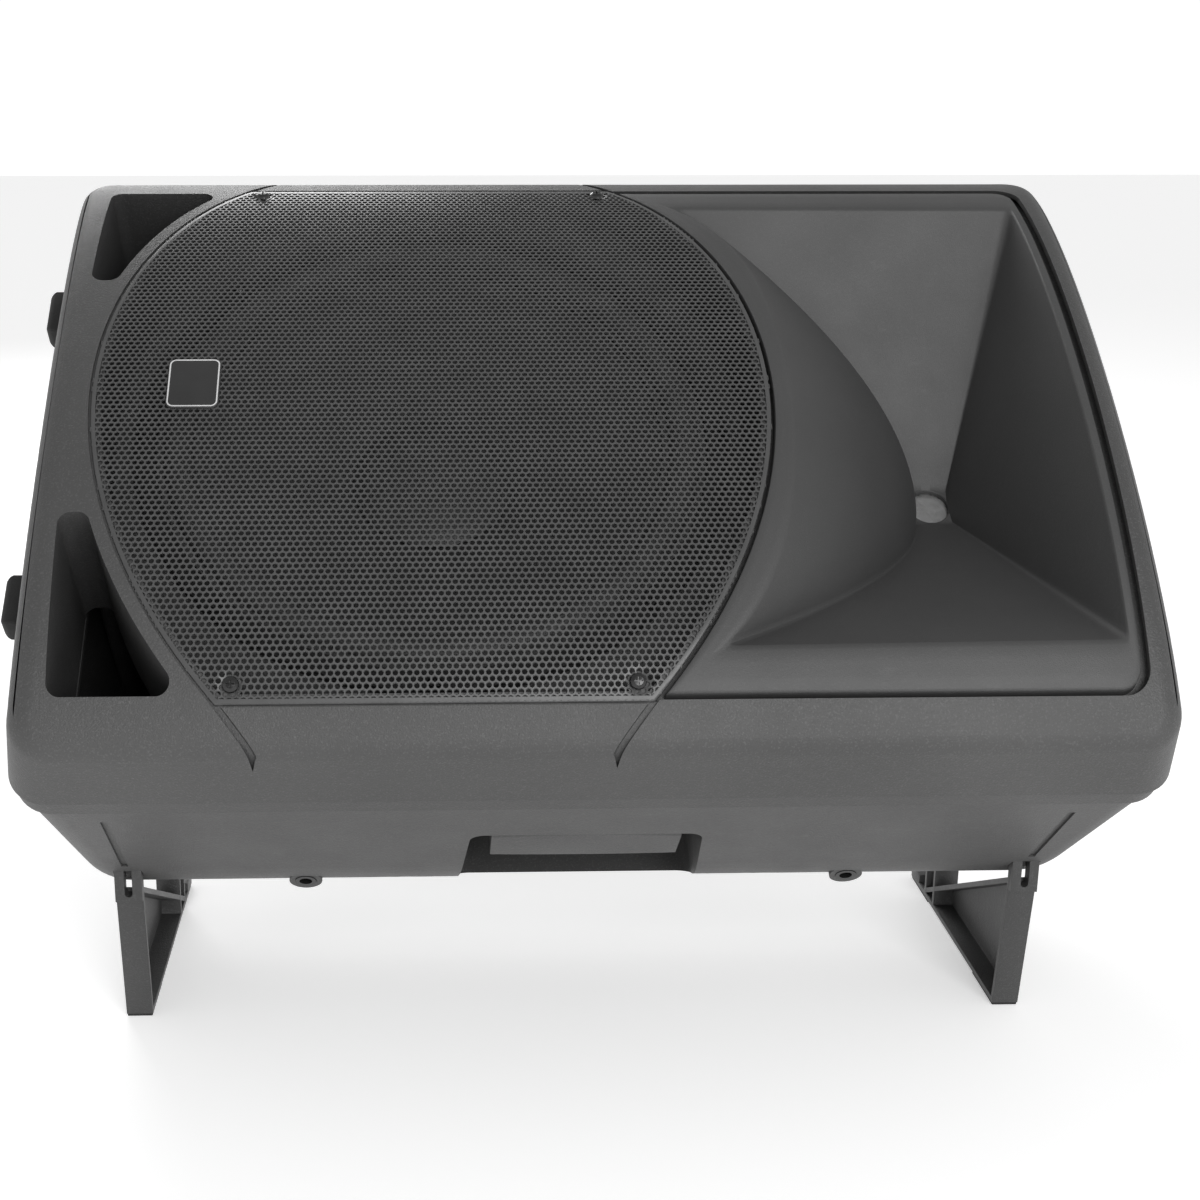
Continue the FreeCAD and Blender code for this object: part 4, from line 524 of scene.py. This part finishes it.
for strip in range(STRIPS):
    start = -SPAN / 2 + strip * STRIP
    piece = run_tree(f"grille_strip_{strip + 1}", perforated, {
        "Brick": grille_brick, "Pitch": PITCH, "Row step": ROW_STEP,
        "Columns": COLUMNS, "Rows": ROWS,
        "Arc radius": GRILLE_ARC - EDGE, "Arc offset": GRILLE_ARC_OFF,
        "Half width": GRILLE_HALF_WIDTH - EDGE, "From x": start, "To x": start + STRIP,
        "Bow half": BOW_HALF, "Bow rise": BOW_RISE, "Bow base": BOW_BASE - SHEET_SUNK,
        "Finish": grille_black,
    })
    press_dimples(piece)
    piece.data.transform(CABINET @ Matrix.Translation((GRILLE_X, 0, 0)))
    settle(piece, instead=("grille",))
print("bricks laid before trimming:", COLUMNS * ROWS)


# %% [markdown]
# ### The grille's folded rim
# A punched sheet has a raw, sharp edge, so the maker folds a narrow hem round it. Here the hem also
# hides the stepped edge where the bricks end. It is one closed ring: a short section carried round
# the outline, with every point set on the bow.

# %% Carry the hem's section round the outline; its section is (inset, level) pairs
HEM = ((3.0, -1.5), (2.8, -0.24), (1.0, -0.2), (0.3, -0.42), (0.0, -1.0), (0.0, -3.4),
       (0.9, -3.4), (1.1, -1.6))


def grille_outline(inset, count=120):
    """Points round the grille's outline, moved in by an inset."""
    radius = GRILLE_ARC - inset
    half = GRILLE_HALF_WIDTH - inset
    turn = math.asin(half / radius)
    points = []
    for end in (1, -1):
        for step in range(count):
            angle = turn * (2 * step / (count - 1) - 1)
            x = end * (radius * math.cos(angle) - GRILLE_ARC_OFF)
            points.append((GRILLE_X + x, end * radius * math.sin(angle)))
        cut = radius * math.cos(turn) - GRILLE_ARC_OFF
        for step in range(1, count // 2):
            share = 2 * step / (count / 2) - 1
            points.append((GRILLE_X - end * cut * share, end * half))
    return points


def close_up(piece):
    """Caps a skin's open ends, if it has any, and makes its faces point outwards."""
    work = bmesh.new()
    work.from_mesh(piece.data)
    ends = [edge for edge in work.edges if edge.is_boundary]
    if ends:
        bmesh.ops.holes_fill(work, edges=ends)
    bmesh.ops.recalc_face_normals(work, faces=work.faces)
    work.to_mesh(piece.data)
    work.free()


hem_rows = []
for inset, level in HEM:
    hem_rows.append([CABINET @ Vector((x, y, bow(y) + level)) for x, y in grille_outline(inset)])
hem = add_object("grille_hem", rows_mesh("grille_hem", hem_rows, closed_ends=True), grille_black)
close_up(hem)
shade(hem)
settle(hem, instead=("grille",))

# %% [markdown]
# ## The horn moulding
# The horn is a separate moulding: a bowed flange with a rolled mouth, four walls that meet in sharp
# creases, and a throat. Its left wall swells towards the listener, which a few flat panels could not
# show. The skin is therefore worked out point by point from the same rules as the engineering part:
# at each level the outline has two straight sides and two arcs, and each point slides from the bow
# down to the throat. Thickness comes last, from a Solidify modifier.

# %% The horn's sizes, in millimetres, and how fast its left wall closes in
FLANGE_SUNK = 0.4
MOUTH_LEVEL = 12.0
MOUTH_CROWN = 36.0
MOUTH_LEFT = (69.8, 183.0)
MOUTH_RIGHT = (311.0, 180.0)
MOUTH_SWELL = 128.0
THROAT_LEVEL = -95.0
THROAT_X = 248.0
THROAT_HALF = 14.0
THROAT_SWELL_LEFT = 2.0
THROAT_SWELL_RIGHT = 1.0
THROAT_RADIUS = 13.7
CORNER_LAW = 1.7
SWELL_LAW = 1.9
FLANGE_END = 316.5
FLANGE_HALF = 207.0
FLANGE_CORNER = 12.0
GRILLE_GAP = 2.4
print("horn depth at the crown:", MOUTH_CROWN - THROAT_LEVEL)


# %% The horn's outline at any level
NEARLY_FLAT = 0.5


def blend(first, second, share):
    """A value part of the way from the first to the second."""
    return first + (second - first) * share


def arc_point(corner_x, corner_y, middle_x, share):
    """A point on the arc from (corner_x, -corner_y) through (middle_x, 0) to (corner_x, corner_y)."""
    sag = middle_x - corner_x
    if abs(sag) < NEARLY_FLAT:
        return corner_x + sag * (1 - (2 * share - 1) ** 2), corner_y * (2 * share - 1)
    radius = (corner_y ** 2 + sag ** 2) / (2 * sag)
    centre = middle_x - radius
    turn = math.asin(max(-1.0, min(1.0, corner_y / abs(radius))))
    if abs(sag) > corner_y:
        turn = math.pi - turn
    angle = turn * (2 * share - 1)
    return centre + radius * math.cos(angle), abs(radius) * math.sin(angle)


def flare_point(side, share, level):
    """A point of the flare's outline: side 0 left arc, 1 upper line, 2 right arc, 3 lower line."""
    fall = (MOUTH_LEVEL - level) / (MOUTH_LEVEL - THROAT_LEVEL)
    crown_fall = (MOUTH_CROWN - level) / (MOUTH_CROWN - THROAT_LEVEL)
    throat_left = THROAT_X - THROAT_HALF
    throat_right = THROAT_X + THROAT_HALF
    left_x = blend(MOUTH_LEFT[0], throat_left, 1 - max(0.0, 1 - fall) ** CORNER_LAW)
    left_y = blend(MOUTH_LEFT[1], THROAT_HALF, fall)
    right_x = blend(MOUTH_RIGHT[0], throat_right, fall)
    right_y = blend(MOUTH_RIGHT[1], THROAT_HALF, fall)
    if side == 0:
        swell_share = 1 - max(0.0, 1 - crown_fall) ** SWELL_LAW
        swell_x = blend(MOUTH_SWELL, throat_left + THROAT_SWELL_LEFT, swell_share)
        return arc_point(left_x, left_y, swell_x, share)
    if side == 2:
        swell_x = blend(MOUTH_RIGHT[0], throat_right - THROAT_SWELL_RIGHT, crown_fall)
        x, y = arc_point(right_x, right_y, swell_x, share)
        return x, -y
    if side == 1:
        return blend(left_x, right_x, share), blend(left_y, right_y, share)
    return blend(right_x, left_x, share), -blend(right_y, left_y, share)


def mouth_level(side, share, highest=41.0, halvings=40):
    """The level at which one line of the flare meets the bowed front, found by halving."""
    low, high = 0.0, highest
    for _ in range(halvings):
        middle = (low + high) / 2
        y = flare_point(side, share, middle)[1]
        if middle < bow(y, FLANGE_SUNK):
            low = middle
        else:
            high = middle
    return low


def past_corner(distance, run, corner):
    """Where a distance ends on a straight run and the round corner after it: (along, inwards)."""
    if distance <= run:
        return distance, 0.0
    turn = (distance - run) / corner
    return run + corner * math.sin(turn), corner * (1 - math.cos(turn))


def horn_outline_point(side, share, inset):
    """A point of the moulding's outer outline that belongs to the same line of the flare."""
    end_x = FLANGE_END - inset
    half = FLANGE_HALF - inset
    corner = FLANGE_CORNER - inset
    half_corner = corner * math.pi / 4
    radius = GRILLE_ARC + GRILLE_GAP + inset
    centre = GRILLE_X - GRILLE_ARC_OFF
    if side == 0:
        turn = math.asin(half / radius) * (2 * share - 1)
        return centre + radius * math.cos(turn), radius * math.sin(turn)
    if side == 2:
        run = half - corner
        distance = (2 * share - 1) * (run + half_corner)
        along, inwards = past_corner(abs(distance), run, corner)
        return end_x - inwards, -math.copysign(along, distance)
    sign, forward = (1, share) if side == 1 else (-1, 1 - share)
    start_x = centre + math.sqrt(radius ** 2 - half ** 2)
    run = end_x - corner - start_x
    along, inwards = past_corner(forward * (run + half_corner), run, corner)
    return start_x + along, sign * (half - inwards)


# %% [markdown]
# ### The horn's rows
# A row is one closed loop of points. The first rows form a hidden skirt behind the flange's edge,
# the next ones cross the flange, and the rest follow the flare down to a short round collar. Rows
# lie closer together near the mouth, where the curve is tightest. (inset, drop) places a skirt row,
# and (radius, depth) a collar row.

# %% Rows of the horn's skin, from the hidden skirt to the throat
SIDE_POINTS = 64
DEPTH_ROWS = 48
ROW_SPREAD = 1.15
MOUTH_LIP = 0.006
SKIRT = ((0.0, 8.0), (0.0, 1.6), (0.4, 0.5), (1.4, 0.0))
FLANGE_SHARES = (0.3, 0.6, 0.9)
COLLAR = ((THROAT_RADIUS + 0.6, 0.0), (THROAT_RADIUS, 0.6), (THROAT_RADIUS, 8.0))
HORN_WALL = 2.8
lines = [(side, step / SIDE_POINTS) for side in range(4) for step in range(SIDE_POINTS)]
tops = [mouth_level(side, share) for side, share in lines]


def outline_row(inset, drop):
    """A row on the bowed front that follows the outer outline."""
    row = []
    for side, share in lines:
        x, y = horn_outline_point(side, share, inset)
        row.append(Vector((x, y, bow(y, FLANGE_SUNK) - drop)))
    return row


def flange_row(outer_row, inner_row, share):
    """A row part of the way across the flange, set on the bow."""
    row = []
    for outer, inner in zip(outer_row, inner_row):
        point = outer.lerp(inner, share)
        point.z = bow(point.y, FLANGE_SUNK)
        row.append(point)
    return row


def flare_row(share_down):
    """A row part of the way from the mouth to the throat."""
    row = []
    for (side, share), top in zip(lines, tops):
        level = blend(top, THROAT_LEVEL, share_down)
        x, y = flare_point(side, share, level)
        row.append(Vector((x, y, level)))
    return row


def eased(row, passes):
    """Rounds the creases of a closed row a little."""
    for _ in range(passes):
        count = len(row)
        row = [row[i] * 0.5 + (row[i - 1] + row[(i + 1) % count]) * 0.25 for i in range(count)]
    return row


def collar_row(last_row, radius, depth):
    """A round row of the throat, with its points in line with the flare's last row."""
    row = []
    for point in last_row:
        turn = math.atan2(point.y, point.x - THROAT_X)
        x = THROAT_X + radius * math.cos(turn)
        row.append(Vector((x, radius * math.sin(turn), THROAT_LEVEL - depth)))
    return row


# %% Stack the rows, join them and give the skin its wall
horn_rows = [outline_row(inset, drop) for inset, drop in SKIRT]
rim = horn_rows[-1]
mouth = flare_row(0.0)
horn_rows += [flange_row(rim, mouth, share) for share in FLANGE_SHARES]
for step in range(DEPTH_ROWS + 1):
    share = (step / DEPTH_ROWS) ** ROW_SPREAD
    horn_rows.append(eased(flare_row(max(share, MOUTH_LIP)), 2))
flare_end = horn_rows[-1]
horn_rows += [collar_row(flare_end, radius, depth) for radius, depth in COLLAR]
horn_rows = [[CABINET @ point for point in row] for row in horn_rows]
horn = add_object("horn_moulding", rows_mesh("horn_moulding", horn_rows), horn_plastic)
wall = horn.modifiers.new("wall", "SOLIDIFY")
wall.thickness = HORN_WALL / 1000
wall.offset = 1.0
plain(horn)
shade(horn, 40)
settle(horn, instead=("horn_flare",))

# %% [markdown]
# ## The throat's mesh
# A disc of finely perforated steel keeps dirt out of the driver. It uses the grille's own tree, with
# a much finer pitch and no bow.

# %% Lay the fine mesh
FINE = 1.15
FINE_ROW = FINE * math.sqrt(3) / 2
FINE_HOLE = 0.36
FINE_SHEET = 0.4
FINE_MARGIN = 0.4
FINE_REACH = 20.0
SCREEN_DEPTH = 4.0
NO_BOW = 100.0
screen = run_tree("throat_mesh", perforated, {
    "Brick": brick("mesh_brick", FINE, FINE_ROW, FINE_HOLE, FINE_SHEET), "Pitch": FINE,
    "Row step": FINE_ROW, "Columns": 25, "Rows": 29, "Arc radius": THROAT_RADIUS - FINE_MARGIN,
    "Arc offset": 0.0, "Half width": FINE_REACH, "From x": -FINE_REACH, "To x": FINE_REACH,
    "Bow half": NO_BOW, "Bow rise": 0.0, "Bow base": THROAT_LEVEL - SCREEN_DEPTH,
    "Finish": steel_mesh,
})
screen.data.transform(CABINET @ Matrix.Translation((THROAT_X, 0, 0)))
settle(screen, instead=("throat_screen",))

# %% [markdown]
# ## Softened edges
# A moulded edge is never a knife edge, and the small highlight along it is what makes a part look
# real. The legs, their pads, the feet and the heat sink are copied from the engineering parts, their
# triangles are merged back into flat faces, and a Bevel modifier rounds what is left.

# %% Copy, merge and bevel
SAME_POINT = 0.00002
SAME_FACE = math.radians(1)
SHARP = math.radians(40)


def softened(node, width, segments=2, body="cabinet"):
    """A copy of a part with its sharp edges rounded by a width in millimetres."""
    copy = nodes[node].data.copy()
    work = bmesh.new()
    work.from_mesh(copy)
    bmesh.ops.remove_doubles(work, verts=work.verts, dist=SAME_POINT)
    bmesh.ops.dissolve_limit(work, angle_limit=SAME_FACE, verts=work.verts, edges=work.edges)
    work.to_mesh(copy)
    work.free()
    piece = add_object(f"{node}_soft", copy)
    bevel = piece.modifiers.new("edges", "BEVEL")
    bevel.width = width / 1000
    bevel.segments = segments
    bevel.limit_method = "ANGLE"
    bevel.angle_limit = SHARP
    plain(piece)
    shade(piece, 50)
    settle(piece, body, (node,))


for side in ("left", "right"):
    softened(f"monitor_leg_{side}", 0.9, body=f"leg_{side}")
    softened(f"leg_pads_{side}", 0.5, body=f"leg_{side}")
softened("rubber_feet", 1.5, segments=3)
softened("heat_sink", 0.4)

# %% [markdown]
# ## The grips
# A hand closes round each grip, so it is barrelled: thickest in the middle, with its rear edge bowed
# and every corner well rounded. One rounded section is carried along the grip and changes its depth
# as it goes, which a plain extrusion could not do. The ends run into the pocket's sides.

# %% Carry a section along each grip
GRIP_HALF = 60.0
GRIP_FRONT = -126.4
GRIP_DEPTH = 47.5
GRIP_TAPER = 6.0
GRIP_THICK = 14.0
GRIP_BARREL = 2.4
GRIP_ROUND = 6.4
GRIP_SUNK = 0.4
GRIP_HOLLOW = 1.6
GRIP_STEPS = 14
SEAM_LEVEL = -75.0
SIDE_AT_SEAM = 239.5
SIDE_SLOPE = 0.1264


def rounded_loop(half_x, half_y, corner, count=8):
    """Points round a rectangle with round corners."""
    points = []
    for quarter, (sign_x, sign_y) in enumerate(((1, 1), (-1, 1), (-1, -1), (1, -1))):
        for step in range(count + 1):
            turn = math.pi / 2 * (quarter + step / count)
            points.append((sign_x * (half_x - corner) + corner * math.cos(turn),
                           sign_y * (half_y - corner) + corner * math.sin(turn)))
    return points


def grip_side(level):
    """Half width of the cabinet's long side at a level."""
    return SIDE_AT_SEAM - (SEAM_LEVEL - level) * SIDE_SLOPE


def grip_row(x, mirror):
    """One rounded section of a grip; mirror is 1 for the upper side and -1 for the lower."""
    swell = 1 - (x / GRIP_HALF) ** 2
    depth = GRIP_DEPTH - GRIP_TAPER * (1 - swell)
    thick = GRIP_THICK + GRIP_BARREL * swell
    sunk = GRIP_SUNK + GRIP_HOLLOW * swell
    row = []
    for across, along in rounded_loop(thick / 2, depth / 2, GRIP_ROUND, count=6):
        level = GRIP_FRONT - depth / 2 + along
        y = grip_side(level) - sunk - thick / 2 + across
        row.append(CABINET @ Vector((x, mirror * y, level)))
    return row


for side, mirror in (("upper", 1), ("lower", -1)):
    places = [GRIP_HALF * step / GRIP_STEPS for step in range(-GRIP_STEPS, GRIP_STEPS + 1)]
    rows = [grip_row(x, mirror) for x in places]
    grip = add_object(f"grip_{side}", rows_mesh(f"grip_{side}", rows), shell_plastic)
    close_up(grip)
    shade(grip, 50)
    settle(grip, instead=(f"handle_grip_{side}",))

# %% [markdown]
# ## The badge
# A small plate with round corners and a thin light border sits on the grille. It stays blank. The
# plate and the border are two closed slabs set on the bow.

# %% Plate and border, as rows of (inset, level) over the bow
BADGE_X = -244.0
BADGE_HALF = (16.5, 20.0)
BADGE_CORNER = 5.0
SMALLEST_CORNER = 1.0
PLATE = ((12.0, -0.1), (0.0, -0.1), (0.0, 0.7), (0.5, 1.2), (1.5, 1.25), (6.0, 1.25), (12.0, 1.25))
BORDER = ((0.8, 1.2), (0.8, 1.32), (1.7, 1.32), (1.7, 1.2))


def badge_row(inset, level):
    """One row of a badge slab."""
    corner = max(SMALLEST_CORNER, BADGE_CORNER - inset)
    loop = rounded_loop(BADGE_HALF[0] - inset, BADGE_HALF[1] - inset, corner)
    return [CABINET @ Vector((BADGE_X + x, y, bow(y) + level)) for x, y in loop]


plate_rows = [badge_row(inset, level) for inset, level in PLATE]
plate = add_object("badge_plate", rows_mesh("badge_plate", plate_rows), badge_black)
close_up(plate)
shade(plate)
settle(plate, instead=("badge",))
border_rows = [badge_row(inset, level) for inset, level in BORDER]
border_mesh = rows_mesh("badge_border", border_rows, closed_ends=True)
border = add_object("badge_border", border_mesh, border_white)
close_up(border)
settle(border, instead=("badge",))

# %% [markdown]
# ## The stage: floor and light
# A pale floor and a pale surround give soft light from every side. A large lamp above the front
# gives the bowed face its gentle gradient, and a second one behind keeps the rear from going flat.
# The surround is brighter near the horizon than overhead, so the sloped face doesn't wash out.

# %% Floor and surround
FLOOR_HALF = 14.0
FLOOR_GLOW = 0.4
WORLD_TOP = 0.5
WORLD_HORIZON = 1.05
HORIZON_BAND = (0.1, 0.4)

corners = [(x * FLOOR_HALF, y * FLOOR_HALF, 0) for x, y in ((-1, -1), (1, -1), (1, 1), (-1, 1))]
floor_mesh = bpy.data.meshes.new("floor")
floor_mesh.from_pydata(corners, [], [(0, 1, 2, 3)])
floor_finish, floor_tree, floor_shader = new_material("floor_pale", 0.9, specular=0.2)
floor_shader.inputs["Base Color"].default_value = grey(0.9)
floor_shader.inputs["Emission Color"].default_value = grey(1.0)
floor_shader.inputs["Emission Strength"].default_value = FLOOR_GLOW
floor = add_object("floor", floor_mesh, floor_finish)

world = bpy.data.worlds.new("studio")
world.use_nodes = True
sky = Tree(world.node_tree)
heading = sky.add("ShaderNodeSeparateXYZ", Vector=sky.add("ShaderNodeTexCoord").outputs["Generated"])
height = between(sky, heading.outputs[2], *HORIZON_BAND)
strength = sky.calc("ADD", sky.calc("MULTIPLY", height, WORLD_TOP - WORLD_HORIZON), WORLD_HORIZON)
background = world.node_tree.nodes["Background"]
sky.feed(background.inputs["Strength"], strength)
background.inputs["Color"].default_value = grey(1.0)
bpy.context.scene.world = world
print("floor width in metres:", 2 * FLOOR_HALF)


# %% Two large lamps
def soft_lamp(name, place, aim, width, power):
    """A large square lamp that points at a spot."""
    light = bpy.data.lights.new(name, "AREA")
    light.size = width
    light.energy = power
    lamp = bpy.data.objects.new(name, light)
    bpy.context.scene.collection.objects.link(lamp)
    lamp.location = place
    lamp.rotation_euler = (Vector(aim) - Vector(place)).to_track_quat("-Z", "Y").to_euler()


soft_lamp("key", (0.7, -2.4, 1.3), (0, 0, 0.35), 1.2, 34.0)
soft_lamp("rear", (-0.8, 2.2, 1.9), (0, 0, 0.3), 1.4, 30.0)
print("lamps:", len(bpy.data.lights))

# %% [markdown]
# ## The camera
# The camera stands close, in front of the woofer and a little above the cabinet, and looks down. It
# hardly turns. A sideways shift of the lens brings the cabinet to the middle of the view instead,
# which keeps the cabinet's long edges level.

# %% Place and aim
FOCAL = 52.95
SENSOR = 36.0
SIDE_SHIFT = 0.146
DOWN_SHIFT = -0.008
YAW = math.radians(1.5)
PITCH_DOWN = math.radians(15.5)
CAMERA_FROM_CABINET = Vector((-0.0998, -1.122, 0.1975))
camera_data = bpy.data.cameras.new("camera")
camera_data.lens = FOCAL
camera_data.sensor_width = SENSOR
camera_data.shift_x = SIDE_SHIFT - math.tan(YAW) * FOCAL / SENSOR
camera_data.shift_y = DOWN_SHIFT
camera = bpy.data.objects.new("camera", camera_data)
bpy.context.scene.collection.objects.link(camera)
camera.location = origin + CAMERA_FROM_CABINET
camera.rotation_euler = (math.pi / 2 - PITCH_DOWN, 0, -YAW)
bpy.context.scene.camera = camera
bpy.context.scene.view_settings.view_transform = "Standard"
print("camera distance:", round(CAMERA_FROM_CABINET.length, 3))
